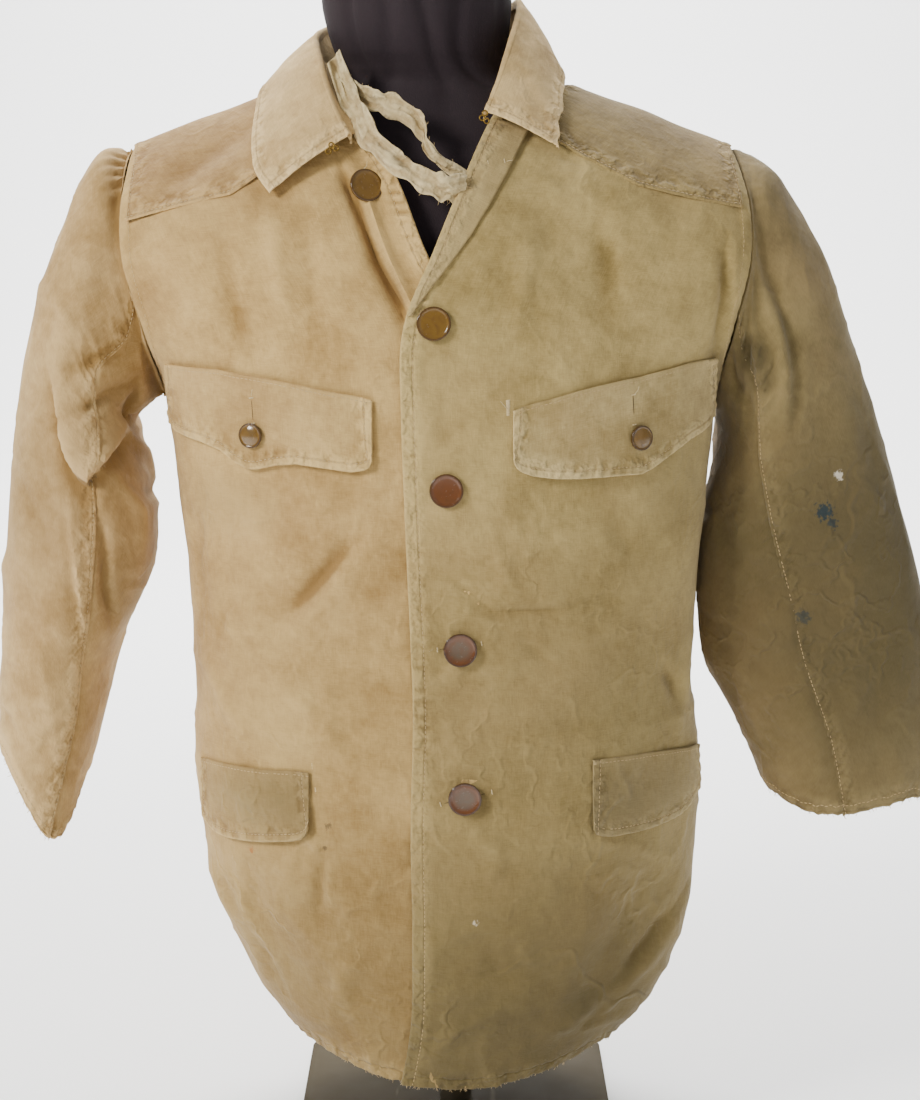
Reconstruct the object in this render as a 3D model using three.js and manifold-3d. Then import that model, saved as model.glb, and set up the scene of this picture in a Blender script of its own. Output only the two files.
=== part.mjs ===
// A khaki cotton winter military tunic, buttoned over a limbless dress form on a pole and base plate.
// Millimetres, +Z up. X runs to the viewer's right and Y away from the viewer.
// The origin is the middle of the base plate's underside.
// Left and right in the names are the wearer's, so the right front lies on the viewer's left.
import * as THREE from 'three';
import { mergeVertices } from 'three/addons/utils/BufferGeometryUtils.js';
import Module from 'manifold-3d';

const wasm = await Module();
wasm.setup();

// Cloth and seams
const clothThickness = 1.8;
const collarThickness = 1.6;
const patchThickness = 1.2;
const flapThickness = 2.0;
const seamGap = 0.3;
const cutGap = 0.45;
const overlapLift = 2.9;
const patchLift = 0.8;
const flapLift = 1.1;
const bodyMiddleY = 5;
const neckHalfWidth = 75;
const neckDip = 1.35;

// Stand
const plateWidth = 230;
const plateDepth = 225;
const plateThickness = 6;
const plateCorner = 12;
const poleRadius = 12.5;
const formBottom = 250;

// Buttons
const frontButtonRadius = 11;
const frontButtonThickness = 3.6;
const pocketButtonRadius = 8.2;
const pocketButtonThickness = 3;
const buttonSeat = 0.5;

// Colours seen on the object
const khakiWarm = 0xc0a47e;
const khakiOlive = 0xa49067;
const khakiSleeve = 0x8a7950;
const khakiCollar = 0xbfa680;
const liningPale = 0xc0ac86;
const buttonOchre = 0x94692a;
const buttonBrown = 0x7a4a22;
const coverBlack = 0x2b2225;
const plateGrey = 0x7a7161;
const chromeGrey = 0xb9b9b6;

const clamp = (value, low, high) => Math.max(low, Math.min(high, value));
const mix = (from, to, share) => from + (to - from) * share;
const radians = (degrees) => degrees * Math.PI / 180;

function smoothStep(low, high, value) {
  const share = clamp((value - low) / (high - low), 0, 1);
  return share * share * (3 - 2 * share);
}

function curveThrough(before, from, to, after, share) {
  const cubic = 3 * from - before - 3 * to + after;
  const square = 2 * before - 5 * from + 4 * to - after;
  return 0.5 * (2 * from + (to - before) * share + square * share ** 2 + cubic * share ** 3);
}

// The value of one column of a table at a row number that may lie between two rows.
function tableValue(rows, column, at) {
  const last = rows.length - 1;
  const row = clamp(Math.floor(at), 0, last - 1);
  const pick = (index) => rows[clamp(index, 0, last)][column];
  return curveThrough(pick(row - 1), pick(row), pick(row + 1), pick(row + 2), at - row);
}

// The value of one column at a place along another, in straight steps.
function tableAlong(rows, key, column, place) {
  let row = 0;
  while (row < rows.length - 2 && rows[row + 1][key] < place) row += 1;
  const share = (place - rows[row][key]) / (rows[row + 1][key] - rows[row][key]);
  return mix(rows[row][column], rows[row + 1][column], clamp(share, 0, 1));
}

// Rings of the body from the hem (row 0) over the armpit (row 6) to the shoulder seam (row 12).
// half is the half width at the side seam, and at the armhole above the armpit.
// frontArm and backArm are the ring angles, in degrees from the middle, where the armhole cuts it.
// underEdge and overEdge are the X of the two front edges; the neck opening starts near row 8.
const bodyRings = [
  { centreZ: 68, sideZ: 86, half: 127, front: 124, back: 104, centreX: 0, square: 1.05,
    frontArm: 90, backArm: 90, underEdge: 18, overEdge: -37 },
  { centreZ: 118, sideZ: 127, half: 154, front: 127, back: 107, centreX: 0, square: 0.95,
    frontArm: 90, backArm: 90, underEdge: 18, overEdge: -30 },
  { centreZ: 185, sideZ: 188, half: 173, front: 128, back: 109, centreX: -2, square: 0.86,
    frontArm: 90, backArm: 90, underEdge: 18, overEdge: -29 },
  { centreZ: 255, sideZ: 255, half: 182.5, front: 127, back: 109, centreX: -5, square: 0.8,
    frontArm: 90, backArm: 90, underEdge: 18, overEdge: -30 },
  { centreZ: 340, sideZ: 340, half: 179, front: 124, back: 106, centreX: -8.5, square: 0.78,
    frontArm: 90, backArm: 90, underEdge: 17, overEdge: -28.5 },
  { centreZ: 435, sideZ: 435, half: 184, front: 121, back: 103, centreX: -9, square: 0.78,
    frontArm: 90, backArm: 90, underEdge: 16, overEdge: -32 },
  { centreZ: 535, sideZ: 535, half: 193.5, front: 118, back: 103, centreX: -11, square: 0.78,
    frontArm: 90, backArm: 90, underEdge: 14, overEdge: -35.5 },
  { centreZ: 590, sideZ: 585, half: 201, front: 115, back: 105, centreX: -12, square: 0.78,
    frontArm: 70, backArm: 70, underEdge: 8, overEdge: -34 },
  { centreZ: 640, sideZ: 632, half: 212, front: 106, back: 103, centreX: -13, square: 0.78,
    frontArm: 62, backArm: 62, underEdge: -19, overEdge: -14 },
  { centreZ: 690, sideZ: 668, half: 213.5, front: 86, back: 90, centreX: -14, square: 0.8,
    frontArm: 62, backArm: 62, underEdge: -39, overEdge: 6 },
  { centreZ: 733, sideZ: 692, half: 211, front: 56, back: 63, centreX: -15, square: 0.85,
    frontArm: 66, backArm: 66, underEdge: -66, overEdge: 24 },
  { centreZ: 763, sideZ: 705, half: 209, front: 27, back: 31, centreX: -16, square: 0.9,
    frontArm: 75, backArm: 75, underEdge: -80, overEdge: 43 },
  { centreZ: 776, sideZ: 709, half: 208, front: 0, back: 0, centreX: -16, square: 0.9,
    frontArm: 90, backArm: 90, underEdge: -91, overEdge: 59 },
];
const armpitRow = 6;
const neckOpenRow = 8;
const shoulderRow = bodyRings.length - 1;
const ringBelowShoulder = bodyRings[shoulderRow - 1];
// One ring past the seam, the mirror of the ring before it, rounds the cloth over the shoulder.
bodyRings.push({ ...ringBelowShoulder, front: -ringBelowShoulder.back, back: -ringBelowShoulder.front,
  frontArm: 90, backArm: 90, underEdge: -91, overEdge: 59 });

// The largest folds, each a straight soft ridge (depth above 0) or trough between two places
// on the front or back, seen from the front: X and Z of its ends, its half width and its depth.
const bodyFolds = [
  { side: 'front', fromX: -128, fromZ: 736, toX: -208, toZ: 672, width: 18, depth: -4 },
  { side: 'front', fromX: -190, fromZ: 215, toX: -135, toZ: 160, width: 13, depth: 6 },
  { side: 'front', fromX: -150, fromZ: 205, toX: -108, toZ: 128, width: 14, depth: -4 },
  { side: 'front', fromX: 172, fromZ: 195, toX: 116, toZ: 92, width: 14, depth: 6 },
  { side: 'front', fromX: 150, fromZ: 230, toX: 84, toZ: 120, width: 16, depth: -4 },
  { side: 'front', fromX: -62, fromZ: 700, toX: -34, toZ: 612, width: 13, depth: -5 },
  { side: 'front', fromX: 60, fromZ: 670, toX: 95, toZ: 600, width: 18, depth: -3 },
  { side: 'front', fromX: -170, fromZ: 470, toX: -110, toZ: 400, width: 20, depth: -3 },
  { side: 'back', fromX: -170, fromZ: 560, toX: -90, toZ: 470, width: 18, depth: -5 },
  { side: 'back', fromX: 150, fromZ: 560, toX: 80, toZ: 480, width: 18, depth: -5 },
  { side: 'back', fromX: -60, fromZ: 300, toX: -80, toZ: 120, width: 18, depth: 6 },
  { side: 'back', fromX: 55, fromZ: 320, toX: 85, toZ: 110, width: 20, depth: 6 },
  { side: 'back', fromX: -5, fromZ: 260, toX: 5, toZ: 90, width: 16, depth: -5 },
];

function foldHeight(side, x, z) {
  let height = 0;
  for (const fold of bodyFolds.filter((row) => row.side === side)) {
    const alongX = fold.toX - fold.fromX;
    const alongZ = fold.toZ - fold.fromZ;
    const lengthSquared = alongX ** 2 + alongZ ** 2;
    const share = ((x - fold.fromX) * alongX + (z - fold.fromZ) * alongZ) / lengthSquared;
    const away = Math.abs((x - fold.fromX) * alongZ - (z - fold.fromZ) * alongX) / Math.sqrt(lengthSquared);
    const taper = smoothStep(-0.25, 0.3, share) * smoothStep(1.25, 0.7, share);
    height += fold.depth * taper * Math.exp(-((away / fold.width) ** 2));
  }
  return height;
}

function ringHalf(side, at) {
  const arm = armAngle(side, at);
  return tableValue(bodyRings, 'half', at) / Math.sin(arm);
}

function armAngle(side, at) {
  return radians(clamp(tableValue(bodyRings, side === 'front' ? 'frontArm' : 'backArm', at), 30, 90));
}

function angleAtX(side, x, at) {
  const share = (x - tableValue(bodyRings, 'centreX', at)) / ringHalf(side, at);
  return Math.asin(clamp(share, -1, 1));
}

// The outer face of the body. angle is 0 at the middle of the front or back, and positive towards +X.
function bodySurface(side, angle, at) {
  const facing = side === 'front' ? -1 : 1;
  const across = Math.sin(angle);
  const depth = tableValue(bodyRings, side, at) * Math.max(Math.cos(angle), 0) ** tableValue(bodyRings, 'square', at);
  const outward = Math.sqrt((across / Math.sin(armAngle(side, at))) ** 2 + 0.0004);
  const centreZ = tableValue(bodyRings, 'centreZ', at);
  const z = centreZ + (tableValue(bodyRings, 'sideZ', at) - centreZ) * Math.min(outward, 1) ** 1.25;
  const x = tableValue(bodyRings, 'centreX', at) + ringHalf(side, at) * across;
  const seamFade = smoothStep(shoulderRow, shoulderRow - 0.8, at) * smoothStep(0, 0.35, Math.cos(angle));
  const raised = foldHeight(side, x, z) * seamFade;
  return new THREE.Vector3(
    x + raised * across,
    bodyMiddleY + facing * (depth + raised * Math.cos(angle)),
    z);
}

// The same face moved out by a lift, square to the cloth.
function bodyPoint(side, angle, at, lift = 0) {
  const point = bodySurface(side, angle, at);
  if (lift === 0) return point;
  const turnStep = 0.01;
  const rowStep = 0.02;
  const limit = Math.PI / 2 - turnStep;
  const middle = clamp(angle, -limit, limit);
  const low = Math.max(at - rowStep, 0);
  const across = bodySurface(side, middle + turnStep, at).sub(bodySurface(side, middle - turnStep, at));
  const up = bodySurface(side, angle, at + rowStep).sub(bodySurface(side, angle, low));
  const normal = side === 'front' ? across.cross(up) : up.cross(across);
  if (Math.abs(angle) > limit) normal.y = 0;
  return point.addScaledVector(normal.normalize(), lift);
}

// A wall of cloth between a surface and the same surface moved in by its thickness.
// columns and rows are the places, 0 to 1 or row numbers, where the surface is sampled.
// A surface that can move itself out or in takes that distance as its third value. For any other,
// inside gives a point on the inner side. grow makes a fatter copy for cutting clearances.
function wall({ surface, columns, rows, thickness, inside, grow = 0 }) {
  const columnCount = columns.length;
  const rowCount = rows.length;
  const points = columns.map((u) => rows.map((v) => surface(u, v, 0)));
  const outer = [];
  const inner = [];
  for (let column = 0; column < columnCount; column += 1) {
    for (let row = 0; row < rowCount; row += 1) {
      const point = points[column][row];
      const acrossVector = points[Math.min(column + 1, columnCount - 1)][row].clone()
        .sub(points[Math.max(column - 1, 0)][row]);
      const upVector = points[column][Math.min(row + 1, rowCount - 1)].clone()
        .sub(points[column][Math.max(row - 1, 0)]);
      const acrossEdge = column === 0 ? -grow : column === columnCount - 1 ? grow : 0;
      const upEdge = row === 0 ? -grow : row === rowCount - 1 ? grow : 0;
      const normal = acrossVector.clone().cross(upVector).normalize();
      acrossVector.normalize().multiplyScalar(acrossEdge);
      upVector.normalize().multiplyScalar(upEdge);
      const moved = (lift) => {
        if (!inside) return surface(columns[column], rows[row], lift);
        const facing = normal.dot(point.clone().sub(inside(point))) < 0 ? -lift : lift;
        return point.clone().addScaledVector(normal, facing);
      };
      outer.push(moved(grow).add(acrossVector).add(upVector));
      inner.push(moved(-thickness - grow).add(acrossVector).add(upVector));
    }
  }
  return closedSheet(outer, inner, columnCount, rowCount);
}

function closedSheet(outer, inner, columnCount, rowCount) {
  const positions = [];
  for (const point of [...outer, ...inner]) positions.push(point.x, point.y, point.z);
  const innerStart = outer.length;
  const index = (column, row) => column * rowCount + row;
  const triangles = [];
  const quad = (a, b, c, d) => triangles.push(a, b, c, a, c, d);
  for (let column = 0; column < columnCount - 1; column += 1) {
    for (let row = 0; row < rowCount - 1; row += 1) {
      const corners = [index(column, row), index(column + 1, row),
        index(column + 1, row + 1), index(column, row + 1)];
      quad(...corners);
      const [a, b, c, d] = corners.map((corner) => corner + innerStart);
      triangles.push(a, c, b, a, d, c);
    }
  }
  const rim = [];
  for (let column = 0; column < columnCount - 1; column += 1) rim.push(index(column, 0));
  for (let row = 0; row < rowCount - 1; row += 1) rim.push(index(columnCount - 1, row));
  for (let column = columnCount - 1; column > 0; column -= 1) rim.push(index(column, rowCount - 1));
  for (let row = rowCount - 1; row > 0; row -= 1) rim.push(index(0, row));
  // Opposite rims are split along the same diagonal, so that twisted seams lie parallel.
  rim.forEach((corner, step) => {
    const next = rim[(step + 1) % rim.length];
    if (step < columnCount + rowCount - 2) quad(corner, corner + innerStart, next + innerStart, next);
    else quad(next, corner, corner + innerStart, next + innerStart);
  });
  return outwardGeometry(positions, triangles);
}

function outwardGeometry(positions, triangles) {
  let volume = 0;
  const corner = (index) => new THREE.Vector3().fromArray(positions, index * 3);
  for (let start = 0; start < triangles.length; start += 3) {
    const [a, b, c] = [0, 1, 2].map((step) => corner(triangles[start + step]));
    volume += a.dot(b.cross(c));
  }
  if (volume < 0) triangles.reverse();
  const geometry = new THREE.BufferGeometry();
  geometry.setAttribute('position', new THREE.Float32BufferAttribute(positions, 3));
  geometry.setIndex(triangles);
  return geometry;
}

function asSolid(geometry) {
  const bare = geometry.clone();
  bare.deleteAttribute('normal');
  bare.deleteAttribute('uv');
  const merged = mergeVertices(bare, 0.0001);
  return new wasm.Manifold(new wasm.Mesh({
    numProp: 3,
    vertProperties: new Float32Array(merged.getAttribute('position').array),
    triVerts: new Uint32Array(merged.getIndex().array),
  }));
}

// The piece with its fatter neighbours cut away, so that seams keep their gap.
function clearOf(geometry, neighbours) {
  let solid = asSolid(geometry);
  for (const neighbour of neighbours) solid = solid.subtract(asSolid(neighbour));
  const bodies = solid.decompose().sort((a, b) => b.volume() - a.volume());
  const mesh = bodies[0].getMesh();
  const cut = new THREE.BufferGeometry();
  cut.setAttribute('position', new THREE.Float32BufferAttribute(mesh.vertProperties, 3));
  cut.setIndex(Array.from(mesh.triVerts));
  return cut;
}

const tunic = new THREE.Group();

function addPiece(name, geometry, color, roughness = 0.95, metalness = 0) {
  const mesh = new THREE.Mesh(geometry, new THREE.MeshStandardMaterial({ color, roughness, metalness }));
  mesh.name = name;
  tunic.add(mesh);
  return mesh;
}

const steps = (from, to, count) => Array.from({ length: count + 1 }, (_, step) => mix(from, to, step / count));

// Front and back panels
const panelRows = [...steps(0, armpitRow, 14), ...steps(armpitRow, neckOpenRow, 6).slice(1),
  ...steps(neckOpenRow, shoulderRow, 12).slice(1)];
const frontColumns = [...steps(0, 0.9, 9), 0.95, 1];
// Front and back each stop half a gap short of the side and shoulder seams between them.
const frontShift = new THREE.Vector3(0, -seamGap / 2, 0);
const backShift = new THREE.Vector3(0, seamGap / 2, 0);

// A point on a front, from its front edge (across 0) to its side seam or armhole (across 1).
function frontPoint(hand, across, at, lift = 0) {
  const wearersRight = hand === 'right';
  const edgeX = tableValue(bodyRings, wearersRight ? 'underEdge' : 'overEdge', at);
  const edge = angleAtX('front', edgeX, at);
  const side = (wearersRight ? -1 : 1) * armAngle('front', at);
  const angle = mix(edge, side, across);
  const overlap = wearersRight ? 0 : smoothStep(0.62, 0.3, across) * smoothStep(neckOpenRow + 2, neckOpenRow, at);
  return bodyPoint('front', angle, at, lift + overlapLift * overlap).add(frontShift);
}

function backTop(across) {
  return shoulderRow - neckDip * (1 - Math.abs(clamp(across, -1, 1)) ** 3);
}

// A point on the back. across runs from the right armhole (-2) to the neck (-1 to 1) and on to 2.
function backPoint(across, at, lift = 0) {
  const share = Math.abs(across);
  const reach = (row) => {
    const neck = Math.asin(clamp(neckHalfWidth / ringHalf('back', row), -1, 1));
    const side = armAngle('back', row);
    return share <= 1 ? neck * share : mix(neck, side, share - 1);
  };
  const top = backTop(across);
  const row = at <= neckOpenRow ? at : mix(neckOpenRow, top, (at - neckOpenRow) / (shoulderRow - neckOpenRow));
  return bodyPoint('back', Math.sign(across) * reach(row), row, lift).add(backShift);
}

const backColumns = [...frontColumns.map((across) => -1 - across).reverse(), ...steps(-1, 1, 4).slice(1, -1),
  ...frontColumns.map((across) => 1 + across)];

const frontWall = (hand, grow = 0) => wall({
  surface: (u, v, lift) => frontPoint(hand, u, v, lift),
  columns: frontColumns, rows: panelRows, thickness: clothThickness, grow,
});
const backWall = (grow = 0) => wall({
  surface: backPoint, columns: backColumns, rows: panelRows, thickness: clothThickness, grow,
});
addPiece('front_right', frontWall('right'), khakiWarm);
addPiece('front_left', frontWall('left'), khakiOlive);
addPiece('back', backWall(), khakiOlive);

// Shoulder patches, stitched flat over the shoulder from the front to the back
const patchOutline = [
  { across: 0.1, right: 10.2, left: 10.0, back: 10.0 },
  { across: 0.3, right: 9.45, left: 9.5, back: 9.7 },
  { across: 0.5, right: 8.95, left: 9.1, back: 9.5 },
  { across: 0.7, right: 8.85, left: 9.0, back: 9.4 },
  { across: 0.95, right: 8.68, left: 8.95, back: 9.3 },
];
const patchAlignedRow = shoulderRow - 4 / 3;
const patchFrontSteps = 8;
const patchEdgeSteps = 4;

// over runs from 0 at the patch's front edge to 8 on the shoulder seam and 16 at its back edge.
function patchPoint(hand, across, over, lift) {
  const onFront = over <= patchFrontSteps;
  const edgeRow = tableAlong(patchOutline, 'across', onFront ? hand : 'back', across);
  const climb = onFront ? over : 2 * patchFrontSteps - over;
  const aligned = Math.max(patchAlignedRow, edgeRow);
  const row = climb <= patchEdgeSteps ? mix(edgeRow, aligned, climb / patchEdgeSteps)
    : mix(aligned, shoulderRow, (climb - patchEdgeSteps) / (patchFrontSteps - patchEdgeSteps));
  if (onFront) return frontPoint(hand, across, row, lift);
  const sign = hand === 'right' ? -1 : 1;
  return backPoint(sign * (1 + across), row, lift);
}

for (const hand of ['right', 'left']) {
  addPiece(`shoulder_patch_${hand}`, wall({
    surface: (u, v, lift) => patchPoint(hand, u, v, patchLift + patchThickness + lift),
    columns: steps(0.1, 0.9, 8).concat(0.95), rows: steps(0, 2 * patchFrontSteps, 2 * patchFrontSteps),
    thickness: patchThickness,
  }), hand === 'right' ? khakiWarm : khakiOlive);
}

// Sleeves. Each row is a ring of the sleeve below the armhole, seen from the front:
// its inner and outer edges, half its depth, the Y of its middle and how far its front hangs lower.
const sleeveRings = {
  right: [
    { innerX: -216, innerZ: 531, outerX: -247, outerZ: 706, halfDepth: 54, middleY: 4, frontDrop: 0 },
    { innerX: -230, innerZ: 519, outerX: -275, outerZ: 655, halfDepth: 60, middleY: 3, frontDrop: 0 },
    { innerX: -225, innerZ: 502, outerX: -293, outerZ: 604, halfDepth: 64, middleY: 2, frontDrop: 0 },
    { innerX: -218, innerZ: 468, outerX: -306, outerZ: 545, halfDepth: 66, middleY: 0, frontDrop: 0 },
    { innerX: -217, innerZ: 430, outerX: -314, outerZ: 480, halfDepth: 66, middleY: -2, frontDrop: 0 },
    { innerX: -226, innerZ: 396, outerX: -319, outerZ: 424, halfDepth: 64, middleY: -4, frontDrop: 2 },
    { innerX: -243, innerZ: 362, outerX: -323, outerZ: 370, halfDepth: 61, middleY: -5, frontDrop: 8 },
    { innerX: -252, innerZ: 322, outerX: -328, outerZ: 328, halfDepth: 58, middleY: -6, frontDrop: 28 },
    { innerX: -266, innerZ: 275, outerX: -328, outerZ: 290, halfDepth: 54, middleY: -6, frontDrop: 54 },
  ],
  left: [
    { innerX: 190, innerZ: 530, outerX: 220, outerZ: 695, halfDepth: 53, middleY: 4, frontDrop: 0 },
    { innerX: 193, innerZ: 517, outerX: 246, outerZ: 650, halfDepth: 55, middleY: 4, frontDrop: 0 },
    { innerX: 191, innerZ: 499, outerX: 269, outerZ: 600, halfDepth: 54, middleY: 4, frontDrop: 0 },
    { innerX: 186, innerZ: 468, outerX: 290, outerZ: 545, halfDepth: 50, middleY: 4, frontDrop: 0 },
    { innerX: 182, innerZ: 430, outerX: 310, outerZ: 485, halfDepth: 45, middleY: 3, frontDrop: 0 },
    { innerX: 180, innerZ: 392, outerX: 327, outerZ: 426, halfDepth: 41, middleY: 2, frontDrop: 1 },
    { innerX: 181, innerZ: 350, outerX: 341, outerZ: 362, halfDepth: 39, middleY: 0, frontDrop: 3 },
    { innerX: 205, innerZ: 300, outerX: 348, outerZ: 302, halfDepth: 39, middleY: -2, frontDrop: 7 },
    { innerX: 224, innerZ: 256, outerX: 346, outerZ: 248, halfDepth: 40, middleY: -2, frontDrop: 14 },
  ],
};
const sleeveRowCount = sleeveRings.right.length;
// The front of a cuff hangs lowest at this turn from the underarm, close to the front seam.
const dropTurn = radians(68);
// The front seam of a sleeve, as a share of the way round from the underarm over the front.
const sleeveSeams = {
  right: { head: 0.17, cuff: 0.2, behind: 0.8 },
  left: { head: 0.15, cuff: 0.225, behind: 0.8 },
};
// Four gathers on the head of the right sleeve, by share of the way round, and how far they reach.
const gatherStart = 0.33;
const gatherPitch = 0.026;
const gatherCount = 4;
const gatherHeight = 1.6;
const gatherReach = 1.5;

// The sleeves' largest folds: place round the sleeve, row, half widths in both, and depth.
const sleeveFolds = {
  right: [
    { round: 0.12, row: 3.1, roundWidth: 0.1, rowWidth: 0.5, depth: -7 },
    { round: 0.1, row: 4.6, roundWidth: 0.09, rowWidth: 1.0, depth: 6 },
    { round: 0.3, row: 4.2, roundWidth: 0.05, rowWidth: 1.6, depth: -4 },
    { round: 0.62, row: 5.0, roundWidth: 0.06, rowWidth: 0.7, depth: -5 },
    { round: 0.75, row: 5.8, roundWidth: 0.08, rowWidth: 0.5, depth: -5 },
  ],
  left: [
    { round: 0.3, row: 2.6, roundWidth: 0.05, rowWidth: 1.8, depth: -4 },
    { round: 0.14, row: 3.0, roundWidth: 0.07, rowWidth: 0.8, depth: -3 },
    { round: 0.62, row: 4.8, roundWidth: 0.06, rowWidth: 0.8, depth: -5 },
    { round: 0.75, row: 5.6, roundWidth: 0.07, rowWidth: 0.6, depth: -5 },
  ],
};

function armholePoint(hand, round) {
  const onFront = round <= 0.5;
  const climb = Math.min(onFront ? round * 2 : (1 - round) * 2, 1) ** 1.35;
  const at = mix(armpitRow, shoulderRow, climb);
  const side = onFront ? 'front' : 'back';
  const sign = hand === 'right' ? -1 : 1;
  return { point: bodyPoint(side, sign * armAngle(side, at), at), side, at, sign };
}

function sleeveRingPoint(hand, round, row) {
  const turn = round * 2 * Math.PI;
  if (row < 1) {
    const { point, sign } = armholePoint(hand, round);
    return point.add(new THREE.Vector3(sign * seamGap * 1.5, 0, 0.1));
  }
  const ring = sleeveRings[hand][Math.min(row, sleeveRowCount) - 1];
  const outwardX = (ring.outerX - ring.innerX) / 2;
  const outwardZ = (ring.outerZ - ring.innerZ) / 2;
  const inward = Math.cos(turn);
  const forward = Math.sin(turn);
  return new THREE.Vector3(
    ring.innerX + outwardX * (1 - inward),
    ring.middleY - ring.halfDepth * Math.sign(forward) * Math.abs(forward) ** 0.9,
    ring.innerZ + outwardZ * (1 - inward) - ring.frontDrop * Math.max(Math.cos(turn - dropTurn), 0) ** 3);
}

function sleeveSurface(hand, round, at) {
  const wrapped = round - Math.floor(round);
  const row = clamp(Math.floor(at), 0, sleeveRowCount - 1);
  const share = at - row;
  const [before, from, to, after] = [row - 1, row, row + 1, row + 2]
    .map((index) => sleeveRingPoint(hand, wrapped, clamp(index, 0, sleeveRowCount)));
  const point = new THREE.Vector3(
    curveThrough(before.x, from.x, to.x, after.x, share),
    curveThrough(before.y, from.y, to.y, after.y, share),
    curveThrough(before.z, from.z, to.z, after.z, share));
  const away = point.clone().sub(sleeveMiddle(hand, at)).normalize();
  return point.addScaledVector(away, sleeveFoldHeight(hand, wrapped, at));
}

function sleeveMiddle(hand, at) {
  const rings = sleeveRings[hand];
  const row = clamp(at - 1, 0, sleeveRowCount - 1);
  const middle = (inner, outer) => (tableValue(rings, inner, row) + tableValue(rings, outer, row)) / 2;
  const above = clamp(1 - at, 0, 1);
  const inwardShift = above * (hand === 'right' ? 20 : -20);
  return new THREE.Vector3(middle('innerX', 'outerX') + inwardShift, tableValue(rings, 'middleY', row),
    middle('innerZ', 'outerZ'));
}

function sleeveFoldHeight(hand, round, at) {
  let height = 0;
  for (const fold of sleeveFolds[hand]) {
    const apart = Math.abs(round - fold.round);
    const aside = Math.min(apart, 1 - apart) / fold.roundWidth;
    height += fold.depth * Math.exp(-(aside ** 2) - ((at - fold.row) / fold.rowWidth) ** 2);
  }
  const gather = (round - gatherStart) / gatherPitch;
  if (hand === 'right' && gather > 0 && gather < gatherCount) {
    const fade = smoothStep(0, 0.3, at) * smoothStep(gatherReach, 0.4, at);
    height += gatherHeight * fade * Math.sin(Math.PI * gather) ** 2;
  }
  return height;
}

// The sleeve's face moved out by a lift. Its first ring moves as the body does at the armhole.
function sleevePoint(hand, round, at, lift = 0) {
  const point = sleeveSurface(hand, round, at);
  if (at === 0) {
    const { point: seam, side, at: row, sign } = armholePoint(hand, round - Math.floor(round));
    const moved = bodyPoint(side, sign * armAngle(side, row), row, lift);
    return point.add(moved).sub(seam);
  }
  const roundStep = 0.004;
  const rowStep = 0.03;
  const around = sleeveSurface(hand, round + roundStep, at).sub(sleeveSurface(hand, round - roundStep, at));
  const along = sleeveSurface(hand, round, Math.min(at + rowStep, sleeveRowCount))
    .sub(sleeveSurface(hand, round, at - rowStep));
  const normal = hand === 'right' ? around.cross(along) : along.cross(around);
  return point.addScaledVector(normal.normalize(), lift);
}

const panelCutters = { right: [frontWall('right', cutGap), backWall(cutGap)],
  left: [frontWall('left', cutGap), backWall(cutGap)] };
const sleeveRows = [...steps(0, 1, 3), ...steps(1, sleeveRowCount, 2 * (sleeveRowCount - 1)).slice(1)];
const seamHalf = 0.0008;

for (const hand of ['right', 'left']) {
  const seams = sleeveSeams[hand];
  const frontSeam = (at) => mix(seams.head, seams.cuff, at / sleeveRowCount);
  const halves = {
    top: (across, at) => mix(frontSeam(at) + seamHalf, seams.behind - seamHalf, across),
    under: (across, at) => mix(seams.behind + seamHalf, 1 + frontSeam(at) - seamHalf, across),
  };
  const gatherColumns = steps(0, gatherCount, gatherCount * 2)
    .map((gather) => (gatherStart + gather * gatherPitch - seams.head) / (seams.behind - seams.head));
  const evenColumns = steps(0, 1, 10);
  const clearEven = evenColumns.filter((place) => place < gatherColumns[0] - 0.03
    || place > gatherColumns[gatherColumns.length - 1] + 0.03);
  const topColumns = hand === 'right' ? [...clearEven, ...gatherColumns].sort((a, b) => a - b) : evenColumns;
  const columns = { top: topColumns, under: steps(0, 1, 7) };
  for (const half of ['top', 'under']) {
    const geometry = wall({
      surface: (u, v, lift) => sleevePoint(hand, halves[half](u, v), v, lift),
      columns: columns[half], rows: sleeveRows, thickness: clothThickness,
    });
    addPiece(`sleeve_${hand}_${half}`, clearOf(geometry, panelCutters[hand]),
      hand === 'right' ? khakiWarm : khakiSleeve);
  }
}

// The place on a front under a given X and Z, as its row and its share from edge to side.
function placeOnFront(hand, x, z, lift) {
  let low = 0;
  let high = shoulderRow - 0.01;
  for (let round = 0; round < 30; round += 1) {
    const row = (low + high) / 2;
    if (bodyPoint('front', angleAtX('front', x, row), row).z < z) low = row;
    else high = row;
  }
  const wearersRight = hand === 'right';
  const edge = angleAtX('front', tableValue(bodyRings, wearersRight ? 'underEdge' : 'overEdge', low), low);
  const side = (wearersRight ? -1 : 1) * armAngle('front', low);
  return frontPoint(hand, (angleAtX('front', x, low) - edge) / (side - edge), low, lift);
}

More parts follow.
